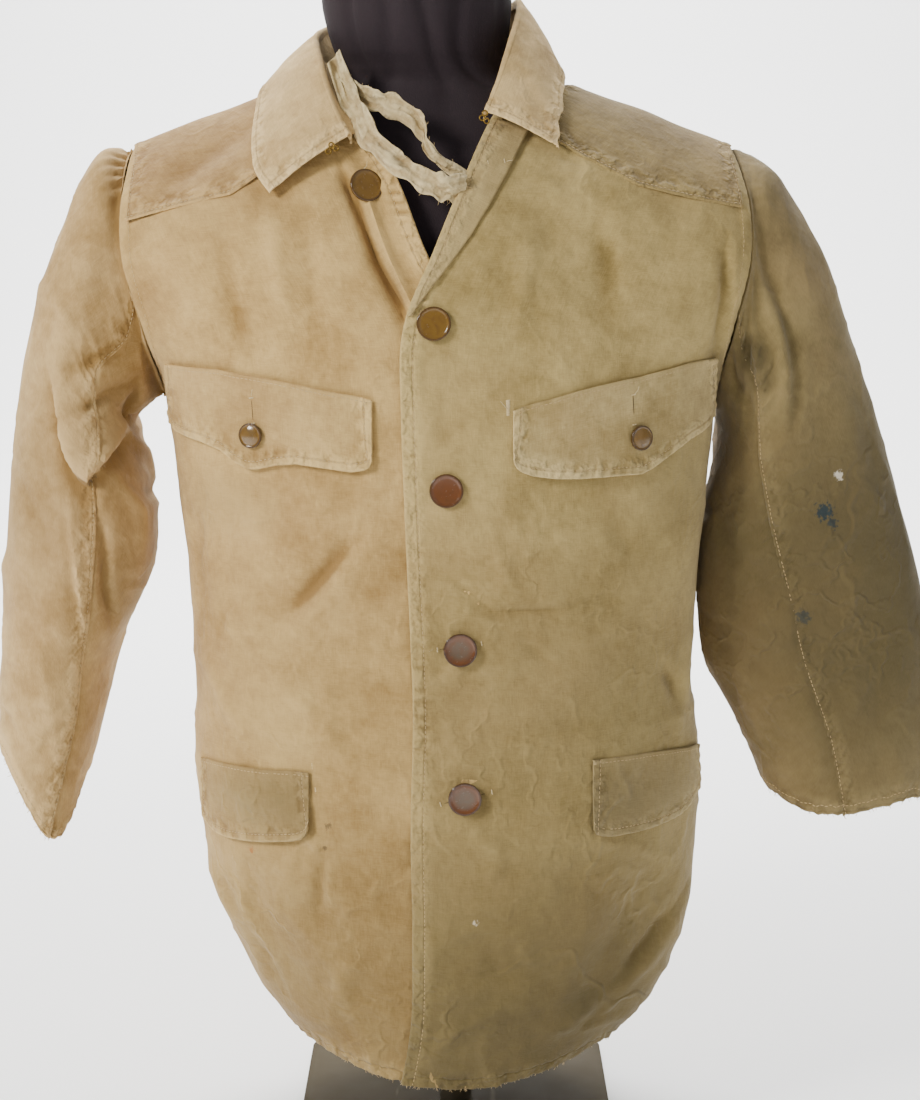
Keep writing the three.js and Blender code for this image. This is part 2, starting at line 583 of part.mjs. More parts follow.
// Pocket flaps, from their inner end to their outer end: X, and Z of the upper and lower edges
const flapOutlines = {
  breast_flap_right: { hand: 'right', rows: [
    { x: -54, top: 544, bottom: 505 },
    { x: -62, top: 546, bottom: 497 },
    { x: -80, top: 549, bottom: 498 },
    { x: -106, top: 554, bottom: 501 },
    { x: -137, top: 559, bottom: 496 },
    { x: -158, top: 562, bottom: 509 },
    { x: -174, top: 563, bottom: 513 },
    { x: -186, top: 563.5, bottom: 516 },
    { x: -196, top: 564, bottom: 520 },
  ] },
  breast_flap_left: { hand: 'left', rows: [
    { x: 37, top: 537, bottom: 505 },
    { x: 44, top: 540, bottom: 496 },
    { x: 64, top: 545, bottom: 492 },
    { x: 96, top: 553, bottom: 492 },
    { x: 124, top: 558, bottom: 493 },
    { x: 142, top: 562, bottom: 504 },
    { x: 158, top: 566, bottom: 514 },
    { x: 169, top: 567, bottom: 518 },
    { x: 177, top: 568, bottom: 522 },
  ] },
  hip_flap_right: { hand: 'right', rows: [
    { x: -98, top: 292, bottom: 253 },
    { x: -109, top: 292, bottom: 243 },
    { x: -131, top: 290, bottom: 239 },
    { x: -156, top: 289, bottom: 236 },
    { x: -168, top: 288, bottom: 236 },
    { x: -178, top: 286, bottom: 242 },
  ] },
  hip_flap_left: { hand: 'left', rows: [
    { x: 91, top: 300, bottom: 253 },
    { x: 106, top: 300, bottom: 246 },
    { x: 134, top: 299, bottom: 247 },
    { x: 152, top: 297, bottom: 250 },
    { x: 163, top: 294, bottom: 255 },
    { x: 171, top: 291, bottom: 262 },
  ] },
};
const flapDownSteps = 4;
for (const [name, flap] of Object.entries(flapOutlines)) {
  const last = flap.rows.length - 1;
  addPiece(name, wall({
    surface: (u, v, lift) => {
      const row = flap.rows[u];
      return placeOnFront(flap.hand, row.x, mix(row.top, row.bottom, v), flapLift + flapThickness + lift);
    },
    columns: steps(0, last, last), rows: steps(0, 1, flapDownSteps), thickness: flapThickness,
  }), flap.hand === 'right' ? khakiWarm : khakiOlive);
}

// The left front's edge, turned open along the neck: its width in X at each row of the body
const edgeRollRows = [
  { row: 7.3, width: 7 },
  { row: 7.8, width: 13 },
  { row: 8.2, width: 20 },
  { row: 8.6, width: 24 },
  { row: 9.0, width: 26 },
  { row: 9.5, width: 26 },
];
addPiece('front_edge_roll', wall({
  surface: (u, v, lift) => {
    const edgeX = tableValue(bodyRings, 'overEdge', v) + 1.5;
    const width = tableAlong(edgeRollRows, 'row', 'width', v);
    const edge = angleAtX('front', tableValue(bodyRings, 'overEdge', v), v);
    const side = armAngle('front', v);
    const angle = angleAtX('front', edgeX + u * width, v);
    return frontPoint('left', (angle - edge) / (side - edge), v, patchLift + clothThickness + lift);
  },
  columns: steps(0, 1, 3), rows: steps(7.3, 9.5, 9), thickness: clothThickness,
}), liningPale);

// Collar, from its right front end round the back to its left front end. The fall runs from the
// roll line, given by place, to its edge, which lies on the body at an X and a row.
const collarRings = [
  { rollX: -71, rollY: -73, rollZ: 714, edgeX: -121, edgeRow: 8.85, side: 'front', seam: 'right', at: 9.5 },
  { rollX: -82, rollY: -62, rollZ: 735, edgeX: -133, edgeRow: 9.35, side: 'front', seam: 'right', at: 10 },
  { rollX: -92, rollY: -38, rollZ: 763, edgeX: -136, edgeRow: 10.5, side: 'front', seam: 'right', at: 11 },
  { rollX: -98, rollY: 6, rollZ: 785, edgeX: -130, edgeRow: 11.9, side: 'front', seam: 'right', at: 11.99 },
  { rollX: -82, rollY: 50, rollZ: 795, edgeX: -104, edgeRow: 10.6, side: 'back', seam: 'back', at: -0.6 },
  { rollX: -25, rollY: 70, rollZ: 801, edgeX: -22, edgeRow: 9.8, side: 'back', seam: 'back', at: 0 },
  { rollX: 33, rollY: 50, rollZ: 807, edgeX: 58, edgeRow: 10.6, side: 'back', seam: 'back', at: 0.6 },
  { rollX: 46, rollY: 6, rollZ: 807, edgeX: 72, edgeRow: 11.9, side: 'front', seam: 'left', at: 11.99 },
  { rollX: 39, rollY: -34, rollZ: 779, edgeX: 72, edgeRow: 11, side: 'front', seam: 'left', at: 11 },
  { rollX: 30, rollY: -52, rollZ: 752, edgeX: 70, edgeRow: 10.1, side: 'front', seam: 'left', at: 10.3 },
  { rollX: 21, rollY: -63, rollZ: 730, edgeX: 68, edgeRow: 9.5, side: 'front', seam: 'left', at: 9.85 },
];
const collarLast = collarRings.length - 1;
const collarColumns = steps(0, collarLast, 2 * collarLast);
const collarLift = 5;
const collarBulge = 2.6;
const standInset = 2.2;
const standRise = 1.4;
const neckMiddle = new THREE.Vector3(-20, 0, 760);
for (const ring of collarRings) {
  const edge = bodyPoint(ring.side, angleAtX(ring.side, ring.edgeX, ring.edgeRow), ring.edgeRow, collarLift);
  const seam = ring.seam === 'back' ? backPoint(ring.at, shoulderRow) : frontPoint(ring.seam, 0, ring.at);
  Object.assign(ring, { edgeX: edge.x, edgeY: edge.y, edgeZ: edge.z });
  Object.assign(ring, { seamX: seam.x, seamY: seam.y, seamZ: seam.z });
}

function collarPlace(line, at) {
  const value = (axis) => tableValue(collarRings, `${line}${axis}`, at);
  return new THREE.Vector3(value('X'), value('Y'), value('Z'));
}

function outFromNeck(at) {
  const away = collarPlace('roll', at).sub(neckMiddle);
  away.z = 0;
  return away.normalize();
}

const fallSurface = (at, down) => {
  const roll = collarPlace('roll', at);
  const edge = collarPlace('edge', at);
  const swell = collarBulge * Math.sin(Math.PI * Math.min(down, 1)) ** 0.8;
  return roll.lerp(edge, down).addScaledVector(outFromNeck(at), swell * 0.8)
    .add(new THREE.Vector3(0, 0, swell * 0.6));
};
const standSurface = (at, up) => {
  const top = collarPlace('roll', at).addScaledVector(outFromNeck(at), -standInset);
  top.z -= standRise;
  const bottom = collarPlace('seam', at).addScaledVector(outFromNeck(at), -0.6);
  bottom.z += standRise;
  return bottom.lerp(top, up);
};
const collarInside = (point) => new THREE.Vector3(neckMiddle.x, neckMiddle.y, point.z - 20);
const fallWall = (grow = 0) => wall({ surface: fallSurface, columns: collarColumns, rows: steps(0, 1, 5),
  thickness: collarThickness, inside: collarInside, grow });
addPiece('collar_fall', fallWall(), khakiCollar);
const standColumns = steps(0.3, collarLast - 0.5, 2 * collarLast - 1);
const standWall = (grow = 0) => wall({ surface: standSurface, columns: standColumns, rows: steps(0, 1, 3),
  thickness: collarThickness, inside: collarInside, grow });
addPiece('collar_stand', clearOf(standWall(),
  [frontWall('right', cutGap), frontWall('left', cutGap), backWall(cutGap), fallWall(cutGap)]),
khakiCollar);

// The torn lining strip of the collar, hanging loose across the neck opening
const liningRows = [
  { x: -82, y: -39, z: 768, halfWidth: 6, lean: 0.5 },
  { x: -75, y: -48, z: 750, halfWidth: 7, lean: 0.5 },
  { x: -66, y: -60, z: 731, halfWidth: 8, lean: 0.6 },
  { x: -57, y: -73, z: 715, halfWidth: 8, lean: 0.7 },
  { x: -43, y: -84, z: 701, halfWidth: 7, lean: 0.8 },
  { x: -27, y: -91, z: 689, halfWidth: 7, lean: 0.9 },
  { x: -12, y: -94, z: 682, halfWidth: 7, lean: 0.95 },
  { x: -2, y: -93, z: 680, halfWidth: 8, lean: 1 },
];
const liningLast = liningRows.length - 1;
const liningWave = 2.2;
addPiece('collar_lining_strip', clearOf(wall({
  surface: (u, v) => {
    const value = (column) => tableValue(liningRows, column, u);
    const across = value('halfWidth') * v;
    const lean = value('lean');
    return new THREE.Vector3(
      value('x') + across * (1 - lean) * 1.2,
      value('y') - liningWave * Math.cos(2.2 * v + u),
      value('z') + across * Math.sqrt(lean));
  },
  columns: steps(0, liningLast, 2 * liningLast), rows: steps(-1, 1, 3), thickness: 1.2,
  inside: () => new THREE.Vector3(-30, 60, 740),
}), [frontWall('right', cutGap), frontWall('left', cutGap), fallWall(cutGap), standWall(cutGap)]),
liningPale);

// Buttons: a domed disc with a raised rim and a short shank behind
function buttonGeometry(radius, thickness, sides) {
  const half = radius * 0.62;
  const profile = [
    [0, 0], [radius * 0.3, 0], [radius * 0.36, thickness * 0.3], [radius * 0.9, thickness * 0.4],
    [radius, thickness * 0.62], [radius * 0.95, thickness * 0.9], [radius * 0.84, thickness * 0.86],
    [half, thickness * 0.94], [0, thickness],
  ].map(([x, y]) => new THREE.Vector2(x, y));
  return new THREE.LatheGeometry(profile, sides);
}

function addButton(name, geometry, color, point, normal, seat = buttonSeat) {
  const button = addPiece(name, geometry, color, 0.35);
  button.position.copy(point).addScaledVector(normal, seat);
  button.quaternion.setFromUnitVectors(new THREE.Vector3(0, 1, 0), normal);
}

function frontNormal(hand, x, z, lift) {
  const here = placeOnFront(hand, x, z, lift);
  const across = placeOnFront(hand, x + 3, z, lift).sub(here);
  const up = placeOnFront(hand, x, z + 3, lift).sub(here);
  return across.cross(up).normalize();
}

const frontButtons = [
  { hand: 'right', x: -61, z: 681, color: buttonOchre, seat: 2.2 },
  { hand: 'left', x: -14, z: 593, color: buttonOchre },
  { hand: 'left', x: -6, z: 485, color: buttonBrown },
  { hand: 'left', x: 3, z: 379, color: buttonBrown },
  { hand: 'left', x: 6, z: 278, color: buttonBrown },
];
frontButtons.forEach((button, step) => {
  addButton(`front_button_${step + 1}`, buttonGeometry(frontButtonRadius, frontButtonThickness, 16), button.color,
    placeOnFront(button.hand, button.x, button.z, 0), frontNormal(button.hand, button.x, button.z, 0),
    button.seat);
});
const pocketButtons = [
  { hand: 'right', x: -134, z: 519 },
  { hand: 'left', x: 121, z: 517 },
];
for (const button of pocketButtons) {
  const lift = flapLift + flapThickness;
  addButton(`pocket_button_${button.hand}`, buttonGeometry(pocketButtonRadius, pocketButtonThickness, 12),
    buttonOchre, placeOnFront(button.hand, button.x, button.z, lift),
    frontNormal(button.hand, button.x, button.z, lift));
}

// Dress form: rings from its flat bottom over the shoulders to the rounded cap of the neck.
// Its shoulders lie just under the cloth and carry the tunic.
const formRings = [
  { z: 250, half: 112, front: 76, back: 66, centreX: -5, square: 1 },
  { z: 256, half: 120, front: 82, back: 70, centreX: -5, square: 1 },
  { z: 300, half: 127, front: 88, back: 74, centreX: -6, square: 1 },
  { z: 350, half: 132, front: 92, back: 77, centreX: -8, square: 1 },
  { z: 430, half: 146, front: 98, back: 82, centreX: -9, square: 0.95 },
  { z: 530, half: 160, front: 102, back: 88, centreX: -11, square: 0.95 },
  { z: 600, half: 168, front: 101, back: 91, centreX: -12, square: 0.95 },
  { z: 650, half: 172, front: 90, back: 88, centreX: -13, square: 1 },
  { z: 680, half: 174, front: 78, back: 77, centreX: -14, square: 1.1 },
  { z: 702.5, half: 173, front: 66, back: 65, centreX: -15, square: 1.4 },
  { z: 716.6, half: 168, front: 54, back: 56, centreX: -15, square: 1.8 },
  { z: 725.7, half: 156, front: 48, back: 50, centreX: -15.5, square: 2.2 },
  { z: 735.7, half: 131, front: 43, back: 43, centreX: -16, square: 2.1 },
  { z: 745.6, half: 98, front: 40, back: 33, centreX: -16, square: 1.8 },
  { z: 753, half: 70, front: 38, back: 29, centreX: -17, square: 1.4 },
  { z: 761, half: 60, front: 40, back: 33, centreX: -20, square: 1.1 },
  { z: 772, half: 60, front: 45, back: 42, centreX: -24, square: 1 },
  { z: 790, half: 63, front: 52, back: 50, centreX: -26, square: 1 },
  { z: 808, half: 66, front: 58, back: 54, centreX: -27, square: 1 },
  { z: 822, half: 64, front: 57, back: 53, centreX: -27, square: 1 },
  { z: 831, half: 54, front: 48, back: 45, centreX: -27, square: 1 },
  { z: 837, half: 32, front: 29, back: 27, centreX: -27, square: 1 },
];
const formCapZ = 839;
const formSides = 24;
const formPositions = [];
for (const ring of formRings) {
  for (let side = 0; side < formSides; side += 1) {
    const turn = side / formSides * 2 * Math.PI;
    const forward = Math.cos(turn);
    const depth = forward > 0 ? -ring.front : ring.back;
    formPositions.push(ring.centreX + ring.half * Math.sin(turn),
      bodyMiddleY + depth * Math.abs(forward) ** ring.square, ring.z);
  }
}
const formRingIndex = (ring, side) => ring * formSides + side % formSides;
const bottomCentre = formRings.length * formSides;
const topCentre = bottomCentre + 1;
const lastFormRing = formRings.length - 1;
formPositions.push(formRings[0].centreX, bodyMiddleY, formBottom);
formPositions.push(formRings[lastFormRing].centreX, bodyMiddleY, formCapZ);
const formTriangles = [];
for (let side = 0; side < formSides; side += 1) {
  formTriangles.push(bottomCentre, formRingIndex(0, side + 1), formRingIndex(0, side));
  formTriangles.push(topCentre, formRingIndex(lastFormRing, side), formRingIndex(lastFormRing, side + 1));
  for (let ring = 0; ring < lastFormRing; ring += 1) {
    const [a, b] = [formRingIndex(ring, side), formRingIndex(ring, side + 1)];
    const [c, d] = [formRingIndex(ring + 1, side + 1), formRingIndex(ring + 1, side)];
    formTriangles.push(a, b, c, a, c, d);
  }
}
addPiece('dress_form', outwardGeometry(formPositions, formTriangles), coverBlack, 0.75);

// Pole and base plate
const pole = addPiece('pole', new THREE.CylinderGeometry(poleRadius, poleRadius, formBottom - plateThickness, 24),
  chromeGrey, 0.15, 1);
pole.rotation.x = Math.PI / 2;
pole.position.set(0, 0, (formBottom + plateThickness) / 2);

const plateOutline = new THREE.Shape();
const cornerX = plateWidth / 2 - plateCorner;
const cornerY = plateDepth / 2 - plateCorner;
plateOutline.moveTo(-cornerX, -plateDepth / 2);
plateOutline.absarc(cornerX, -cornerY, plateCorner, -Math.PI / 2, 0);
plateOutline.absarc(cornerX, cornerY, plateCorner, 0, Math.PI / 2);
plateOutline.absarc(-cornerX, cornerY, plateCorner, Math.PI / 2, Math.PI);
plateOutline.absarc(-cornerX, -cornerY, plateCorner, Math.PI, 1.5 * Math.PI);
addPiece('base_plate', new THREE.ExtrudeGeometry(plateOutline,
  { depth: plateThickness, bevelEnabled: false, curveSegments: 6 }), plateGrey, 0.5, 0.3);

export default tunic;
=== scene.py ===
import math
import bpy
import numpy as np
from mathutils import Matrix, Vector


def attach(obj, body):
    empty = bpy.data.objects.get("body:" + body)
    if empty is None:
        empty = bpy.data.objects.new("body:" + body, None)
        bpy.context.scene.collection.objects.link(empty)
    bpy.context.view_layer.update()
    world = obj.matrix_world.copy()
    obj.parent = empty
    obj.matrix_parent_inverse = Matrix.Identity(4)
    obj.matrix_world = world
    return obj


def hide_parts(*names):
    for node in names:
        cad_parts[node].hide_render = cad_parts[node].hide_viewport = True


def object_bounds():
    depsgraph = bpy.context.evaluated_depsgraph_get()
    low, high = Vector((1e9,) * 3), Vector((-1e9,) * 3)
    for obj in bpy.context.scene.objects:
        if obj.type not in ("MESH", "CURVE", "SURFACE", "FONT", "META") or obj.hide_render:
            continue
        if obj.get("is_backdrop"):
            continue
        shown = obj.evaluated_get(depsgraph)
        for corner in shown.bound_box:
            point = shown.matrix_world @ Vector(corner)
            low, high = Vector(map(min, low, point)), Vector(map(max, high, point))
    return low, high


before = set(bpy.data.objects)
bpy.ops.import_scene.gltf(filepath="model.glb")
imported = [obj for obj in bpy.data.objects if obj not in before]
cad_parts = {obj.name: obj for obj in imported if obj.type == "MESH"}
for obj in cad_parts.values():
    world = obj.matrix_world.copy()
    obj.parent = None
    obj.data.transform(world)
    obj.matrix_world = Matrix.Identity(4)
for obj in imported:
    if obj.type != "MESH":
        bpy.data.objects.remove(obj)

cad_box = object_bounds()
bpy.ops.object.select_all(action='DESELECT')

# Studio. A pale sweep of paper stands in for the ground and the wall, under soft lights.
# The key light is high on the viewer's left. The camera stands 1.4 m in front, tipped down.
camera_place = (0.002963, -1.4, 0.66)
camera_tilt = math.radians(9.4906)
lens_mm = 64.6

camera_data = bpy.data.cameras.new('studio_camera')
camera_data.lens = lens_mm
camera_data.sensor_width = 36
camera_data.clip_start = 0.05
camera = bpy.data.objects.new('studio_camera', camera_data)
camera.location = camera_place
camera.rotation_euler = (math.pi / 2 - camera_tilt, 0, 0)
bpy.context.scene.collection.objects.link(camera)
bpy.context.scene.camera = camera


def soft_light(name, place, aim, size, watts, tint):
    """A square soft box that faces a point of the tunic."""
    data = bpy.data.lights.new(name, 'AREA')
    data.energy = watts
    data.size = size
    data.color = tint
    light = bpy.data.objects.new(name, data)
    light.location = place
    light.rotation_euler = (Vector(aim) - Vector(place)).to_track_quat('-Z', 'Y').to_euler()
    bpy.context.scene.collection.objects.link(light)


soft_light('key', (-1.9, -1.45, 1.75), (-0.05, 0, 0.45), 0.7, 74, (1, 0.97, 0.92))
soft_light('fill', (1.7, -1.9, 1.1), (0, 0, 0.45), 1.8, 3, (0.97, 0.98, 1))
soft_light('back', (0.0, 1.7, 3.1), (0, 3.3, 0.3), 2.2, 330, (1, 1, 1))

world = bpy.data.worlds.new('studio_air')
world.use_nodes = True
air = world.node_tree.nodes['Background'].inputs
air['Color'].default_value = (0.96, 0.98, 1, 1)
air['Strength'].default_value = 0.42
bpy.context.scene.world = world

paper_width, paper_bend, paper_steps = 9.0, 1.2, 12
paper_front, paper_back, paper_top = -6.0, 3.4, 4.4
bpy.ops.mesh.primitive_plane_add(size=1, location=(0, 0, 0))
paper = bpy.context.object
paper.name = 'paper_sweep'
outline = [(paper_front, 0.0)]
for step in range(paper_steps + 1):
    turn = step / paper_steps * math.pi / 2
    outline.append((paper_back - paper_bend * (1 - math.sin(turn)), paper_bend * (1 - math.cos(turn))))
outline.append((paper_back, paper_top))
paper_points = [(side * paper_width / 2, y, z) for y, z in outline for side in (-1, 1)]
paper_faces = [(2 * row, 2 * row + 1, 2 * row + 3, 2 * row + 2) for row in range(len(outline) - 1)]
paper.data.clear_geometry()
paper.data.from_pydata(paper_points, [], paper_faces)
paper.data.shade_smooth()
paper_finish = bpy.data.materials.new('studio_paper')
paper_finish.use_nodes = True
paper_shader = paper_finish.node_tree.nodes['Principled BSDF']
paper_shader.inputs['Base Color'].default_value = (0.97, 0.97, 0.965, 1)
paper_shader.inputs['Roughness'].default_value = 0.9
paper.data.materials.append(paper_finish)
paper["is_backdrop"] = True

# Khaki cotton. The whole tunic is one stout twill, washed pale where it is rubbed, with painted shade in its
# folds.
# Its yarns follow the cut of each piece, so its finish reads the piece's cloth map.


class Dye:
    """A socket of a finish. Sums on it add Math nodes, and node() adds any other node."""

    def __init__(self, tree, socket=None):
        self.tree = tree
        self.socket = socket

    def node(self, kind, settings=None, values=None, out=0):
        made = self.tree.nodes.new(kind)
        for name, setting in (settings or {}).items():
            setattr(made, name, setting)
        for key, value in (values or {}).items():
            if isinstance(value, Dye):
                self.tree.links.new(value.socket, made.inputs[key])
            else:
                made.inputs[key].default_value = value
        return Dye(self.tree, made.outputs[out])

    def math(self, operation, *values):
        return self.node('ShaderNodeMath', {'operation': operation}, dict(enumerate(values)))

    def __add__(self, other):
        return self.math('ADD', self, other)

    def __radd__(self, other):
        return self.math('ADD', other, self)

    def __sub__(self, other):
        return self.math('SUBTRACT', self, other)

    def __rsub__(self, other):
        return self.math('SUBTRACT', other, self)

    def __mul__(self, other):
        return self.math('MULTIPLY', self, other)

    def __rmul__(self, other):
        return self.math('MULTIPLY', other, self)

    def band(self, low, high):
        """0 at low and 1 at high, in a soft step."""
        return self.node('ShaderNodeMapRange', {'interpolation_type': 'SMOOTHSTEP'},
                         {0: self, 1: low, 2: high, 3: 0.0, 4: 1.0})

    def near(self, place, reach):
        """1 at a place and 0 past its reach on both sides."""
        return 1 - self.math('ABSOLUTE', self - place).band(0.0, reach)

    def tint(self, first, second):
        """The first colour where this is 0 and the second where it is 1."""
        return self.node('ShaderNodeMix', {'data_type': 'RGBA'}, {0: self, 6: first, 7: second}, 2)

    def noise(self, scale, detail=2.0, roughness=0.5, stretch=(1, 1, 1), distortion=0.0):
        """Noise over this place, from 0 to 1, with its grains drawn out by the stretch."""
        drawn = self.node('ShaderNodeVectorMath', {'operation': 'MULTIPLY'}, {0: self, 1: stretch})
        return self.node('ShaderNodeTexNoise', {}, {'Vector': drawn, 'Scale': scale, 'Detail': detail,
                                                    'Roughness': roughness, 'Distortion': distortion})

    def into(self, shader, socket):
        self.tree.links.new(self.socket, shader.inputs[socket])

    def bump(self, shader, strength):
        """Raises a finish by this height, in metres."""
        values = {'Strength': strength, 'Distance': 1.0, 'Height': self}
        self.node('ShaderNodeBump', values=values).into(shader, 'Normal')


def new_finish(name, fixed):
    """A finish, its shader and its Object coordinates. fixed holds what doesn't vary over it."""
    material = bpy.data.materials.new(name)
    material.use_nodes = True
    shader = material.node_tree.nodes['Principled BSDF']
    for socket, value in fixed.items():
        shader.inputs[socket].default_value = value
    return material, shader, Dye(material.node_tree).node('ShaderNodeTexCoord', out=3)


def dyed(red, green, blue):
    """A colour as an eye names it, from 0 to 255, for a shader's socket."""
    return tuple((value / 255) ** 2.2 for value in (red, green, blue)) + (1,)


def khaki_cotton(name, pale, deep, seams=(), seed=0.0, spots=()):
    """Worn cotton twill. seams are the distances of its stitched rows from the edge, in mm."""
    material, shader, spot_place = new_finish(name, {'Sheen Weight': 0.12, 'Sheen Roughness': 0.6,
                                                     'Specular IOR Level': 0.25})
    uv = spot_place.node('ShaderNodeUVMap', {'uv_map': 'cloth'})
    place = spot_place.node('ShaderNodeVectorMath', {'operation': 'ADD'}, {0: spot_place, 1: (seed,) * 3})
    edge, fold, painted_shade = [place.node('ShaderNodeAttribute', {'attribute_name': kind}, out=2)
                        for kind in ('edge', 'fold', 'painted_shade')]
    cloud = place.noise(6, 5.0, 0.6)
    mottle = place.noise(24, 4.0, 0.6)
    flecks = place.noise(150, 3.0, 0.65)
    warp = uv.noise(1, 2.0, 0.6, (1300, 120, 1))
    weft = uv.noise(1, 2.0, 0.6, (120, 1300, 1))
    slub = uv.noise(1, 3.0, 0.7, (700, 80, 1)) + uv.noise(1, 3.0, 0.7, (80, 700, 1)) - 1.0
    rim = 1 - edge.band(0.3, 2.2)
    wrinkle = (place.noise(11, 3.0, 0.55).near(0.5, 0.035) * place.noise(8, 2.0).band(0.4, 0.6)
               + place.noise(26, 3.0, 0.55).near(0.5, 0.05) * place.noise(13, 2.0).band(0.42, 0.6) * 0.7)
    wrinkle = wrinkle * (painted_shade * 1.6 + 0.4)
    drawn_up = edge.band(15, 8) * (place.noise(130, 2.0).band(0.36, 0.64) - 0.5)
    groove = 0.0
    for seam in seams:
        groove = groove + edge.near(seam, 1.3)
    # Painted shade and highlight: the fold terms lighten the colour on the ridges of the relief and darken it
    # in the troughs, most of all in deep crevices and in the puckers by stitched edges.
    share = (0.5 + (cloud - 0.5) * 1.5 + (mottle - 0.5) * 1.1 + (flecks - 0.5) * 0.7
             + (warp - 0.5) * 0.45 + (weft - 0.5) * 0.45 + slub * 0.2 + fold * 0.06 + wrinkle * 0.2
             + drawn_up * 0.6
             + rim * (flecks * 1.4 - 0.2) + edge.band(17, 9) * fold * 0.3
             - fold.band(-1.2, -5.0) * 0.55)
    # Painted shade: the sunken stitch lines are darkened in the colour.
    if seams:
        share = share - groove * mottle * 0.8 + edge.band(seams[-1] + 4, seams[-1]) * 0.16
    twill_tone = share.band(-0.35, 1.35).tint(deep, pale)
    rust = place.noise(4.5, 3.0).band(0.45, 0.8) * 0.25
    twill_tone = rust.tint(twill_tone, dyed(178, 139, 96))
    # Painted shade: a per-point shade mark darkens the colour towards deep khaki, low on the tunic, under the
    # flaps and in the crevices at the arms; the spots after it are real stains.
    shaded_and_stained = (painted_shade * (0.6 + mottle * 0.8)).tint(twill_tone, dyed(78, 68, 42))
    for centre, radius, colour, strength in spots:
        away = place.node('ShaderNodeVectorMath', {'operation': 'DISTANCE'}, {0: spot_place, 1: centre}, 1)
        ragged = away + (place.noise(420, 3.0) - 0.5) * radius * 2.4
        shaded_and_stained = ((1 - ragged.band(radius * 0.45, radius)) * strength).tint(shaded_and_stained, colour)
    shaded_and_stained.into(shader, 'Base Color')
    (0.93 - rim * 0.08).into(shader, 'Roughness')
    yarn_x, yarn_y = [uv.node('ShaderNodeSeparateXYZ', values={0: uv}, out=axis) for axis in (0, 1)]
    twill = uv.math('SINE', (yarn_x + yarn_y) * 7800)
    height = (warp * 0.0002 + weft * 0.0002 + twill * 0.00002 + slub * 0.0002
              + place.noise(55, 3.0, 0.6) * 0.0022 + place.noise(17, 2.0) * 0.004 - groove * 0.0005
              + wrinkle * 0.001 + drawn_up * 0.0013)
    height.bump(shader, 0.85)
    return material


# Tunic body. The two fronts and the back are single pieces of cotton twill, joined at the sides
# and shoulders by flat seams and hemmed below. They share the forms that the solids were made on.
body_columns = ("centre_z side_z half front back centre_x square front_arm back_arm "
                "under_edge over_edge").split()
body_rows = [
    (68, 86, 127, 124, 104, 0, 1.05, 90, 90, 18, -37),
    (118, 127, 154, 127, 107, 0, 0.95, 90, 90, 18, -30),
    (185, 188, 173, 128, 109, -2, 0.86, 90, 90, 18, -29),
    (255, 255, 182.5, 127, 109, -5, 0.8, 90, 90, 18, -30),
    (340, 340, 179, 124, 106, -8.5, 0.78, 90, 90, 17, -28.5),
    (435, 435, 184, 121, 103, -9, 0.78, 90, 90, 16, -32),
    (535, 535, 193.5, 118, 103, -11, 0.78, 90, 90, 14, -35.5),
    (590, 585, 201, 115, 105, -12, 0.78, 70, 70, 8, -34),
    (640, 632, 212, 106, 103, -13, 0.78, 62, 62, -19, -14),
    (690, 668, 213.5, 86, 90, -14, 0.8, 62, 62, -39, 6),
    (733, 692, 211, 56, 63, -15, 0.85, 66, 66, -66, 24),
    (763, 705, 209, 27, 31, -16, 0.9, 75, 75, -80, 43),
    (776, 709, 208, 0, 0, -16, 0.9, 90, 90, -91, 59),
    (763, 705, 209, -31, -27, -16, 0.9, 90, 90, -91, 59),
]
armpit_row = 6
neck_row = 8
shoulder_row = 12
body_middle_y = 5
seam_gap = 0.3
overlap_lift = 2.9
neck_half_width = 75
neck_dip = 1.35


def table_columns(names, rows):
    """A table's columns by name, each as an array."""
    return {name: np.array(column, float) for name, column in zip(names, zip(*rows))}


def smooth_through(before, start, end, after, share):
    """A share of the way from start to end, on a smooth curve through four places."""
    return 0.5 * (2 * start + (end - before) * share
                  + (2 * before - 5 * start + 4 * end - after) * share ** 2
                  + (3 * start - before - 3 * end + after) * share ** 3)


def row_value(column, at):
    """A table's column at row numbers that may lie between two rows, on a smooth curve."""
    last = len(column) - 1
    row = np.clip(np.floor(at), 0, last - 1).astype(int)
    return smooth_through(*[column[np.clip(row + step, 0, last)] for step in (-1, 0, 1, 2)], at - row)


def unit(vectors):
    return vectors / np.linalg.norm(vectors, axis=-1, keepdims=True)


def run_along(path):
    """The way run at each point of a path, from its start."""
    return np.concatenate([[0], np.cumsum(np.linalg.norm(np.diff(path, axis=0), axis=-1))])


def smooth_step(low, high, value):
    share = np.clip((value - low) / (high - low), 0, 1)
    return share * share * (3 - 2 * share)


body = table_columns(body_columns, body_rows)

main_folds = {
    'front': [(-128, 736, -208, 672, 18, -4), (-190, 215, -135, 160, 13, 6),
              (-150, 205, -108, 128, 14, -4), (172, 195, 116, 92, 14, 6),
              (150, 230, 84, 120, 16, -4), (-62, 700, -34, 612, 13, -5),
              (60, 670, 95, 600, 18, -3), (-170, 470, -110, 400, 20, -3)],
    'back': [(-170, 560, -90, 470, 18, -5), (150, 560, 80, 480, 18, -5),
             (-60, 300, -80, 120, 18, 6), (55, 320, 85, 110, 20, 6), (-5, 260, 5, 90, 16, -5)],
}


